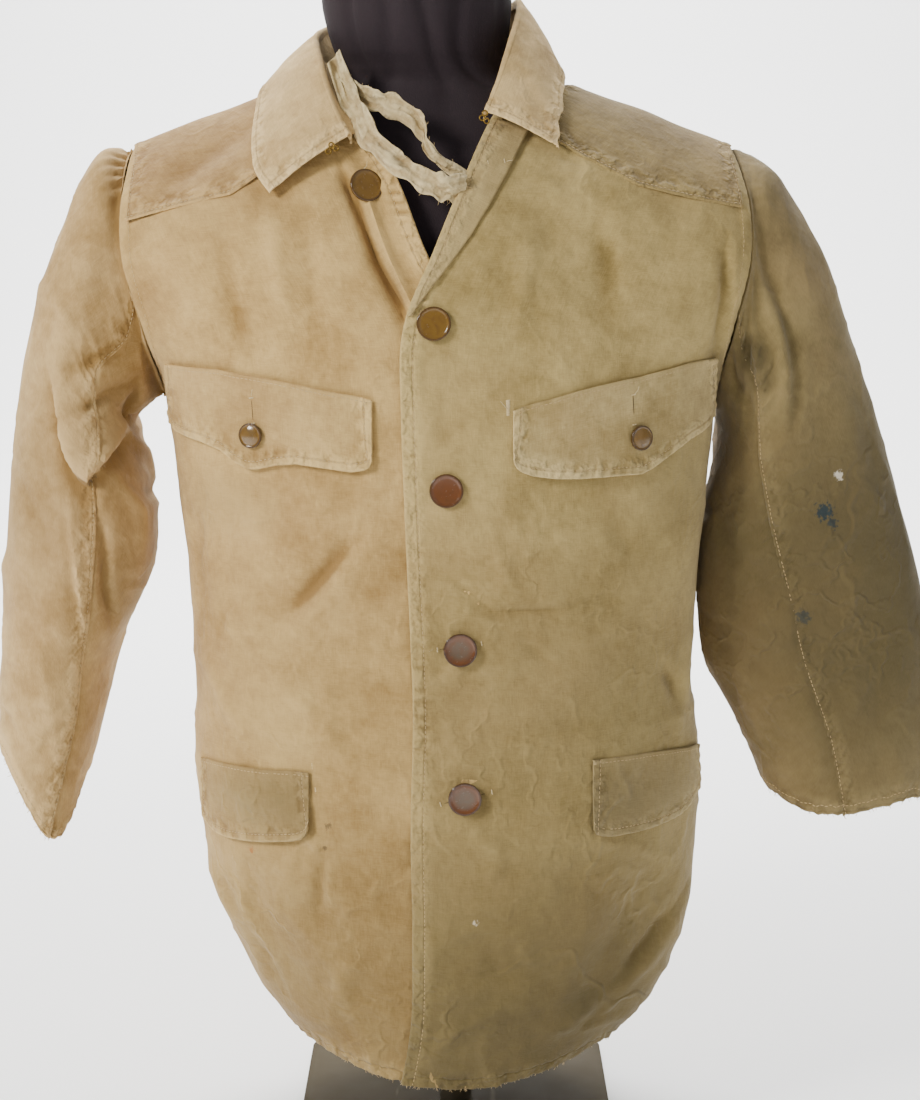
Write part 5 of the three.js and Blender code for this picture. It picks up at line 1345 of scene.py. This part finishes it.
for node, hand, x, z, radius, thick, seat, hollow, middle, rim, grey in button_rows:
    on_flap = flap_lift + flap_thickness if node.startswith('pocket') else 0.0
    here, across, up = [place_on_front(hand, x + right, z + above, on_flap)
                        for right, above in ((0, 0), (3, 0), (0, 3))]
    facing = Vector(np.cross(across - here, up - here)).normalized()
    facing = (facing + Vector((0.3, 0, -0.12) if node == 'front_button_1' else (0, 0, 0))).normalized()
    mm = 0.001
    bpy.ops.mesh.primitive_cylinder_add(vertices=56, radius=radius * 0.97 * mm, depth=thick * 0.62 * mm,
                                        end_fill_type='NGON')
    button = bpy.context.object
    button.name = f'{node}_turned'
    bpy.ops.object.mode_set(mode='EDIT')
    bpy.ops.mesh.select_mode(type='FACE')
    bpy.ops.mesh.select_all(action='SELECT')
    bpy.ops.mesh.select_face_by_sides(number=4, type='EQUAL', extend=False)
    bpy.ops.mesh.select_all(action='INVERT')
    bpy.ops.mesh.inset(thickness=radius * 0.05 * mm)
    bpy.ops.mesh.select_all(action='DESELECT')
    bpy.ops.object.mode_set(mode='OBJECT')
    top_face = max(button.data.polygons, key=lambda face: (len(face.vertices) > 4) * face.center.z)
    top_face.select = True
    bpy.ops.object.mode_set(mode='EDIT')
    bpy.ops.mesh.inset(thickness=radius * 0.09 * mm)
    bpy.ops.mesh.inset(thickness=radius * 0.05 * mm, depth=-0.35 * mm)
    for ring in range(face_rings):
        dip = -hollow / face_rings * (1.6 - ring * 0.24)
        bpy.ops.mesh.inset(thickness=radius * 0.11 * mm, depth=dip * mm)
    bpy.ops.mesh.select_all(action='SELECT')
    bpy.ops.mesh.normals_make_consistent(inside=False)
    bpy.ops.object.mode_set(mode='OBJECT')
    eased(button, 0.45 * mm, 3, 30)
    reach = [math.hypot(point.co.x, point.co.y) / (radius * mm) for point in button.data.vertices]
    button.data.attributes.new('out_from_middle', 'FLOAT', 'POINT').data.foreach_set('value', reach)
    turn = facing.to_track_quat('Z', 'Y').to_matrix().to_4x4()
    middle_out = seat + thick * 0.69
    button.data.transform(Matrix.Translation((Vector(here) + facing * middle_out) * mm) @ turn)
    button.data.materials.append(button_finish(f'{node}_stock', middle, rim, grey))
    button.select_set(False)
    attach(button, 'root')
    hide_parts(node)
    shank_long = seat + thick * 0.5
    bpy.ops.mesh.primitive_cylinder_add(vertices=14, radius=radius * 0.2 * mm, depth=shank_long * mm)
    shank = bpy.context.object
    shank.name = f'{node}_thread_shank'
    bpy.ops.object.shade_smooth_by_angle(angle=math.radians(40))
    shank.data.transform(Matrix.Translation((Vector(here) + facing * shank_long / 2) * mm) @ turn)
    shank.data.materials.append(seam_thread)
    shank.select_set(False)
    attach(shank, 'root')


# Hook and eye. The collar closes with a small hook on its left end and an eye on its right
# end, bent from brass wire and sewn on through their loops.
brass, brass_shader, place = new_finish('brass_wire', {'Metallic': 0.9, 'Roughness': 0.35})
place.noise(300, 3.0).tint(dyed(96, 72, 30), dyed(176, 142, 70)).into(brass_shader, 'Base Color')
wire_radius, loop_radius = 0.0005, 0.0017
# The middles of each piece's three loops, in metres
wire_loops = {
    'collar_eye': [(-0.0815, -0.0775, 0.7085), (-0.0785, -0.0785, 0.7065), (-0.0835, -0.078, 0.7045)],
    'collar_hook': [(0.0175, -0.069, 0.7265), (0.0205, -0.0695, 0.7245), (0.0195, -0.07, 0.7295)],
}
for name, middles in wire_loops.items():
    loops = []
    for place in middles:
        bpy.ops.mesh.primitive_torus_add(major_radius=loop_radius, minor_radius=wire_radius,
                                         major_segments=16, minor_segments=8, location=place,
                                         rotation=(math.radians(80), 0, 0.2))
        loops.append(bpy.context.object)
    for loop in loops:
        loop.select_set(True)
    bpy.ops.object.join()
    bpy.ops.object.transform_apply(location=True, rotation=True, scale=True)
    wire = bpy.context.object
    wire.name = name
    bpy.ops.object.shade_smooth()
    wire.select_set(False)
    wire.data.materials.append(brass)
    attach(wire, 'root')

# Sewing. Rows of cotton thread hold every turned edge down, sunk into the cloth, so that each
# stitch is a short raised bead. The buttonholes are worked round in buttonhole stitch.


def inset_path(made, border, inset):
    """A line on a piece of cloth, one inset in millimetres from a border, with its outward side."""
    way, points, outward = made['way'][border], made['points'], made['outward']
    if border in 'cd':
        way, points, outward = way.T, points.transpose(1, 0, 2), outward.transpose(1, 0, 2)
    order = slice(None) if border in 'ac' else slice(None, None, -1)
    columns = range(way.shape[1])
    path, facing = [np.stack([[np.interp(inset, way[order, column], field[order, column, axis])
                               for axis in range(3)] for column in columns]) for field in (points, outward)]
    return path, unit(facing)


def at_run(field, run, where):
    """What a field of a path is where the path has run so far."""
    return np.stack([np.interp(where, run, field[:, axis]) for axis in range(3)], axis=-1)


def stretch_of(path, facing, start=0.0, end=1.0):
    """Part of a line, by shares of its length."""
    run = run_along(path)
    fine = np.linspace(run[-1] * start, run[-1] * end, max(8, len(path)))
    return [at_run(field, run, fine) for field in (path, facing)]

# A bead's rings: share of its length from the middle, and share of its full radius
bead_rings = [(-0.5, 0.25), (-0.32, 0.8), (0, 1), (0.32, 0.8), (0.5, 0.25)]
thread_sides = 5
dropped_share = 0.03


def tube_faces(first, rings):
    """The faces of a closed tube of thread, from the number of its first point."""
    faces = []
    for ring in range(first, first + (rings - 1) * thread_sides, thread_sides):
        for corner in range(thread_sides):
            a, b = ring + corner, ring + (corner + 1) % thread_sides
            faces.append((a, b, b + thread_sides, a + thread_sides))
    last = first + (rings - 1) * thread_sides
    faces.append(tuple(first + corner for corner in reversed(range(thread_sides))))
    faces.append(tuple(last + corner for corner in range(thread_sides)))
    return faces


def thread_piece(name, points, faces, finish):
    """One object for all the thread of a kind, from points in millimetres."""
    mesh = bpy.data.meshes.new(name)
    mesh.from_pydata([tuple(point / 1000) for point in points], [], faces)
    mesh.shade_smooth()
    mesh.materials.append(finish)
    piece = bpy.data.objects.new(name, mesh)
    bpy.context.scene.collection.objects.link(piece)
    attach(piece, 'root')


def beads(name, rows, finish, length=2.3, pitch=3.1, thick=0.5, sink=0.12, seed=0):
    """Stitches in rows, one object for all of them. Each is a bead of thread laid along its row."""
    random = np.random.default_rng(seed)
    points, faces = [], []
    for path, facing in rows:
        run = run_along(path)
        middles = np.arange(pitch * 0.6, run[-1] - pitch * 0.5, pitch)
        ahead = unit(at_run(path, run, middles + length / 2) - at_run(path, run, middles - length / 2))
        out = at_run(facing, run, middles)
        out = unit(out - ahead * np.sum(out * ahead, axis=1, keepdims=True))
        side = np.cross(ahead, out)
        for place, along, up, across in zip(at_run(path, run, middles), ahead, out, side):
            if random.random() < dropped_share:
                continue
            first = len(points)
            place = place + up * (thick / 2 - sink * 2) + across * random.uniform(-0.12, 0.12)
            for share, swell in bead_rings:
                for corner in range(thread_sides):
                    turn = corner / thread_sides * 2 * math.pi
                    radius = thick / 2 * swell
                    points.append(place + along * share * length
                                  + up * math.cos(turn) * radius + across * math.sin(turn) * radius * 1.2)
            faces += tube_faces(first, len(bead_rings))
    thread_piece(name, points, faces, finish)


def one_stitch(start, end, out):
    """A row for a single stitch, with the way out of the cloth."""
    return np.linspace(start, end, 3), np.repeat(out[None], 3, axis=0)

edge_stitches = []
for hand in ('right', 'left'):
    shown = (0.0, 0.96) if hand == 'right' else (0.0, 0.72)
    edge_stitches.append(stretch_of(*inset_path(fronts[hand], 'a', 8.6), *shown))
    edge_stitches.append(stretch_of(*inset_path(fronts[hand], 'b', 8.0), 0.72, 1.0))
edge_stitches.append(stretch_of(*inset_path(back_panel, 'a', 8.0), 0.72, 1.0))
edge_stitches.append(stretch_of(*inset_path(back_panel, 'b', 8.0), 0.72, 1.0))
beads('panel_stitches', edge_stitches, seam_thread, seed=1)
patch_stitches = [inset_path(patches[hand], border, 2.6) for hand in patches for border in 'abd']
beads('patch_stitches', patch_stitches, seam_thread, seed=2)
flap_stitches = [inset_path(flaps[name], border, 5.5) for name in flaps for border in 'abd']
flap_stitches += [inset_path(flaps[name], 'c', 2.6) for name in flaps]
beads('flap_stitches', flap_stitches, seam_thread, seed=3)
sleeve_stitches = [inset_path(sleeves[hand, 'top'], 'a', 2.6) for hand in ('right', 'left')]
sleeve_stitches += [inset_path(made, 'd', 7.0) for made in sleeves.values()]
beads('sleeve_stitches', sleeve_stitches, seam_thread, seed=4)
collar_stitches = [inset_path(collar_fall, border, 5.0) for border in 'abd']
collar_stitches.append(inset_path(roll_band, 'a', 4.5))
beads('collar_stitches', collar_stitches, seam_thread, seed=5)

# Buttonholes: hand, X and Z of both ends, and the layer of cloth that it is worked in
buttonholes = [
    ('left', (-3, 593), (17, 593), 0), ('left', (5, 485), (19, 486), 0), ('left', (-12, 379), (17, 383), 0),
    ('left', (-10, 274), (24, 282), 0), ('left', (21, 695), (32, 696), 2),
    ('right', (-134, 544), (-133, 527), 1), ('left', (116, 546), (117, 526), 1),
]
hole_stitches, hole_slits = [], []
on_layer = [0.0, flap_lift + flap_thickness, patch_lift + cloth_thickness]
hole_points, hole_pitch = 60, 0.7
for hand, start, end, layer in buttonholes:
    x, z = np.linspace(start, end, hole_points).T
    middle = place_on_front(hand, x, z, on_layer[layer])
    facing = place_on_front(hand, x, z, on_layer[layer] + 1) - middle
    across = np.cross(unit(np.gradient(middle, axis=0)), facing)
    length = np.linalg.norm(middle[-1] - middle[0])
    for turn in (-1, 1):
        for step in range(int(length / hole_pitch)):
            spot = min(hole_points - 1, int(step * hole_pitch / length * hole_points))
            hole_stitches.append(one_stitch(middle[spot] + across[spot] * turn * 0.35,
                                            middle[spot] + across[spot] * turn * 2.1, facing[spot]))
    for end in (0, -1):
        hole_stitches.append(one_stitch(middle[end] - across[end] * 1.9, middle[end] + across[end] * 1.9,
                                        facing[end]))
    hole_slits.append((middle, facing))
beads('buttonhole_stitches', hole_stitches, pale_thread, 2.0, 1.6, 0.75, -0.08, 6)

# Bar tacks and darns, as bundles of crossing stitches: hand, and X and Z of both ends
bar_tacks = [('right', (-51, 549), (-51, 538)), ('left', (34, 544), (34, 534)),
             ('right', (-96, 298), (-95, 288)), ('left', (89, 304), (89, 292)),
             ('right', (-94, 281), (-93, 272))]
tack_stitches = []
tack_half = np.array([1.6, 0, 0.3])
for hand, start, end in bar_tacks:
    x, z = np.linspace(start, end, 22).T
    middle = place_on_front(hand, x, z)
    facing = place_on_front(hand, x, z, 1.0) - middle
    for place, out in zip(middle, facing):
        tack_stitches.append(one_stitch(place - tack_half, place + tack_half, out))
beads('bar_tack_stitches', tack_stitches, pale_thread, 3.0, 2.6, 0.5, 0.0, 7)


def strands(name, paths, thick, finish):
    """Threads along paths in millimetres, one object for all of them."""
    points, faces = [], []
    for path in paths:
        first = len(points)
        ahead = unit(np.gradient(path, axis=0))
        across = unit(np.cross(ahead, np.array([0.31, 0.9, 0.3])))
        over = np.cross(ahead, across)
        for step, place in enumerate(path):
            radius = thick / 2 * (0.55 if step in (0, len(path) - 1) else 1)
            for corner in range(thread_sides):
                turn = corner / thread_sides * 2 * math.pi
                points.append(place + (across[step] * math.cos(turn) + over[step] * math.sin(turn)) * radius)
        faces += tube_faces(first, len(path))
    thread_piece(name, points, faces, finish)

# Painted shadow: dark strands laid along each buttonhole stand in for the shade inside its slit.
slit_dark = thread_finish('slit_shadow', dyed(58, 44, 28), dyed(36, 28, 18))
strands('buttonhole_slits', [middle[3:-3:6] - facing[3:-3:6] * 0.1 for middle, facing in hole_slits], 0.5,
        slit_dark)


def ravelled(start, toward, length, curl, random, steps=7):
    """A loose end of yarn that leaves the cloth one way and bends as it goes."""
    path, heading = [np.array(start, float)], np.array(toward, float)
    for step in range(steps):
        heading = unit(heading + random.uniform(-curl, curl, 3))
        path.append(path[-1] + heading * length / steps)
    return np.array(path)


def fringe(made, border, amount, length, random, shares=(0.0, 1.0), curl=0.35):
    """Loose ends of yarn that stand out of a frayed border."""
    path, facing = inset_path(made, border, 0.9)
    inner, _ = inset_path(made, border, 3.5)
    ends = []
    for share in random.uniform(*shares, amount):
        spot = int(share * (len(path) - 1))
        beyond = unit(path[spot] - inner[spot])
        start = path[spot] - facing[spot] * random.uniform(0.3, 1.5)
        ends.append(ravelled(start, beyond + random.uniform(-0.3, 0.3, 3), length * random.uniform(0.4, 1.3),
                             curl, random, 5))
    return ends


yarn_ends = []
random = np.random.default_rng(77)
for hand in ('right', 'left'):
    yarn_ends += fringe(fronts[hand], 'c', 130, 2.6, random)
    yarn_ends += fringe(sleeves[hand, 'top'], 'd', 90, 3.0, random)
    yarn_ends += fringe(sleeves[hand, 'under'], 'd', 36, 3.0, random)
yarn_ends += fringe(back_panel, 'c', 80, 2.6, random)
yarn_ends += fringe(collar_fall, 'd', 46, 2.4, random, (0.76, 1.0))
yarn_ends += fringe(collar_fall, 'b', 10, 2.0, random)
yarn_ends += fringe(strips['collar_lining_strip'], 'b', 16, 5.0, random, curl=0.5)
yarn_ends += fringe(strips['collar_lining_strip'], 'c', 40, 3.0, random, curl=0.5)
yarn_ends += fringe(strips['upper_lining_loop'], 'd', 24, 2.4, random, curl=0.5)
strands('ravelled_yarn', yarn_ends, 0.3, seam_thread)
loose = []
for hand, x, z, layer, toward, length in (
        ('right', -61, 690, 0, (0.25, -0.5, 1.0), 9), ('right', -60, 690, 0, (-0.4, -0.6, 0.8), 7),
        ('left', 34, 538, 0, (-0.7, -0.5, 0.5), 9), ('left', 117, 545, 1, (0.1, -0.5, 0.9), 8),
        ('right', -134, 545, 1, (0.2, -0.6, 0.8), 5), ('left', -15, 379, 0, (-0.6, -0.6, 0.2), 5),
        ('right', -96, 296, 0, (0.7, -0.5, -0.4), 6), ('left', 33, 696, 2, (0.7, -0.6, 0.1), 5)):
    start = place_on_front(hand, x, z, on_layer[layer])
    loose.append(ravelled(start, toward, length, 0.3, random, 9))
strands('loose_threads', loose, 0.4, pale_thread)

# Dress form. A padded limbless bust with smooth shoulders and a short capped neck, under a tight
# cover of black stretch jersey that is gathered at the neck. It is held up by the pole.
form_columns = 'z half front back centre_x square'.split()
form_rings = table_columns(form_columns, [
    (250, 112, 76, 66, -5, 1), (256, 120, 82, 70, -5, 1), (300, 127, 88, 74, -6, 1),
    (350, 132, 92, 77, -8, 1), (430, 146, 98, 82, -9, 0.95), (530, 160, 102, 88, -11, 0.95),
    (600, 168, 101, 91, -12, 0.95), (650, 172, 90, 88, -13, 1), (680, 174, 78, 77, -14, 1.1),
    (702.5, 173, 66, 65, -15, 1.4), (716.6, 168, 54, 56, -15, 1.8), (725.7, 156, 48, 50, -15.5, 2.2),
    (735.7, 131, 43, 43, -16, 2.1), (745.6, 98, 40, 33, -16, 1.8), (753, 70, 38, 29, -17, 1.4),
    (761, 60, 40, 33, -20, 1.1), (772, 60, 45, 42, -24, 1), (790, 63, 52, 50, -26, 1),
    (808, 66, 58, 54, -27, 1), (822, 64, 57, 53, -27, 1), (831, 54, 48, 45, -27, 1),
    (837, 32, 29, 27, -27, 1)])
cover_inset = 1.4
form_sides = 168
fine_rows = np.concatenate([np.linspace(ring, ring + 1, 8)[:-1] for ring in range(21)] + [[21.0]])
pick = {name: np.interp(fine_rows, np.arange(22), column) for name, column in form_rings.items()}
kernel = np.array([1, 2, 3, 4, 5, 4, 3, 2, 1]) / 25
for name in ('half', 'front', 'back', 'centre_x'):
    held = pick[name].copy()
    pick[name][4:-4] = np.convolve(held, kernel, 'valid')
turn = np.arange(form_sides) / form_sides * 2 * math.pi
forward = np.cos(turn)[None]
inset = cover_inset * smooth_step(790, 762, pick['z'])[:, None]
depth = np.where(forward > 0, -(pick['front'][:, None] - inset), pick['back'][:, None] - inset)
ripple = 0.0
for share, fold_turn, width in ((3.4, 0.1, 0.08), (2.8, -0.35, 0.1), (3.2, 0.5, 0.09), (2.6, -0.75, 0.08),
                                (1.1, 1.0, 0.07), (0.8, 2.2, 0.08), (0.9, -2.0, 0.08), (0.7, 3.0, 0.08)):
    drift = fold_turn + 0.05 * np.sin(pick['z'][:, None] / 17 + fold_turn * 5)
    away = (turn[None] - drift + math.pi) % (2 * math.pi) - math.pi
    ripple = ripple - share * np.exp(-(away / width) ** 2)
gathered = smooth_step(640, 760, pick['z'])[:, None] * smooth_step(839, 828, pick['z'])[:, None]
swell = 1 + ripple * gathered / 60
form_x = pick['centre_x'][:, None] + (pick['half'][:, None] - inset) * np.sin(turn)[None] * swell
form_y = body_middle_y + depth * np.abs(forward) ** pick['square'][:, None] * swell
form_z = np.repeat(pick['z'][:, None], form_sides, axis=1)
form_points = np.stack([form_x, form_y, form_z], axis=-1).reshape(-1, 3)
form_faces = []
for ring in range(len(fine_rows) - 1):
    for side in range(form_sides):
        a, b = ring * form_sides + side, ring * form_sides + (side + 1) % form_sides
        form_faces.append((a, b, b + form_sides, a + form_sides))
top_ring = (len(fine_rows) - 1) * form_sides
form_faces.append(tuple(reversed(range(form_sides))))
cap = len(form_points)
form_points = np.vstack([form_points, [[-27, body_middle_y, 839]]])
for side in range(form_sides):
    form_faces.append((top_ring + side, top_ring + (side + 1) % form_sides, cap))
form_mesh = bpy.data.meshes.new('form_cover')
form_mesh.from_pydata((form_points / 1000).tolist(), [], form_faces)
form_cover = bpy.data.objects.new('form_cover', form_mesh)
bpy.context.scene.collection.objects.link(form_cover)
bpy.context.view_layer.objects.active = form_cover
form_cover.select_set(True)
bpy.ops.object.mode_set(mode='EDIT')
bpy.ops.mesh.select_all(action='SELECT')
bpy.ops.mesh.normals_make_consistent(inside=False)
bpy.ops.object.mode_set(mode='OBJECT')
bpy.ops.object.shade_smooth_by_angle(angle=math.radians(50))
form_cover.select_set(False)
jersey, jersey_shader, place = new_finish('black_stretch_jersey', {
    'Roughness': 0.85, 'Sheen Weight': 0.06, 'Sheen Roughness': 0.4})
tone = place.noise(9, 3.0) * 0.6 + place.noise(700, 2.0) * 0.4
tone.tint(dyed(24, 14, 19), dyed(46, 32, 39)).into(jersey_shader, 'Base Color')
knit = place.noise(1, 2.0, 0.5, (1500, 1500, 500)) * 0.0003 + place.noise(40, 3.0, 0.5, (1, 1, 0.25)) * 0.0012
knit.bump(jersey_shader, 0.7)
form_mesh.materials.append(jersey)
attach(form_cover, 'root')
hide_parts('dress_form')

# Pole. A chromed steel tube, 25 mm across, that stands on the base plate and ends at the flat
# bottom of the form.
pole_radius, pole_low, pole_high = 0.0125, 0.006, 0.25
bpy.ops.mesh.primitive_cylinder_add(vertices=72, radius=pole_radius, depth=pole_high - pole_low,
                                    location=(0, 0, (pole_high + pole_low) / 2))
pole = bpy.context.object
pole.name = 'chromed_tube'
bpy.ops.object.transform_apply(location=True, rotation=True, scale=True)
eased(pole, 0.0004, 2, 60)
pole.select_set(False)
chrome, chrome_shader, place = new_finish('polished_chrome', {'Metallic': 1})
(0.07 + place.noise(30, 4.0).band(0.4, 0.8) * 0.16).into(chrome_shader, 'Roughness')
place.noise(12, 3.0).tint(dyed(212, 213, 214), dyed(228, 229, 230)).into(chrome_shader, 'Base Color')
pole.data.materials.append(chrome)
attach(pole, 'root')
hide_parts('pole')

# Base plate. A rectangular plate of 6 mm steel with rounded corners and eased edges, painted in
# a satin grey-brown. It lies flat on the ground.
plate_width, plate_depth, plate_thick, plate_corner = 0.23, 0.225, 0.006, 0.012
bpy.ops.mesh.primitive_cube_add(size=1, location=(0, 0, plate_thick / 2),
                                scale=(plate_width, plate_depth, plate_thick))
plate = bpy.context.object
plate.name = 'steel_base_plate'
bpy.ops.object.transform_apply(location=True, rotation=True, scale=True)
bpy.ops.object.mode_set(mode='EDIT')
bpy.ops.mesh.select_mode(type='EDGE')
bpy.ops.mesh.select_all(action='DESELECT')
bpy.ops.object.mode_set(mode='OBJECT')
for edge in plate.data.edges:
    first, second = [plate.data.vertices[point].co for point in edge.vertices]
    edge.select = abs(first.z - second.z) > plate_thick / 2
bpy.ops.object.mode_set(mode='EDIT')
bpy.ops.mesh.bevel(offset=plate_corner, segments=10, affect='EDGES')
bpy.ops.object.mode_set(mode='OBJECT')
eased(plate, 0.0008, 3, 50)
plate.select_set(False)
paint, paint_shader, place = new_finish('satin_paint', {'Specular IOR Level': 0.2})
tone = place.noise(14, 4.0).tint(dyed(58, 51, 36), dyed(72, 64, 47))
scuffed = place.noise(60, 3.0, 0.6, (1, 0.15, 1)).band(0.62, 0.75) * 0.3
scuffed.tint(tone, dyed(124, 116, 98)).into(paint_shader, 'Base Color')
(0.74 + place.noise(80, 3.0) * 0.15).into(paint_shader, 'Roughness')
(place.noise(500, 2.0) * 0.00006).bump(paint_shader, 0.6)
plate.data.materials.append(paint)
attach(plate, 'root')
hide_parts('base_plate')

# Size of the dressed model beside the CAD frame's.
({'cad': [list(corner) for corner in cad_box],
           'visual': [list(corner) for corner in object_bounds()]})
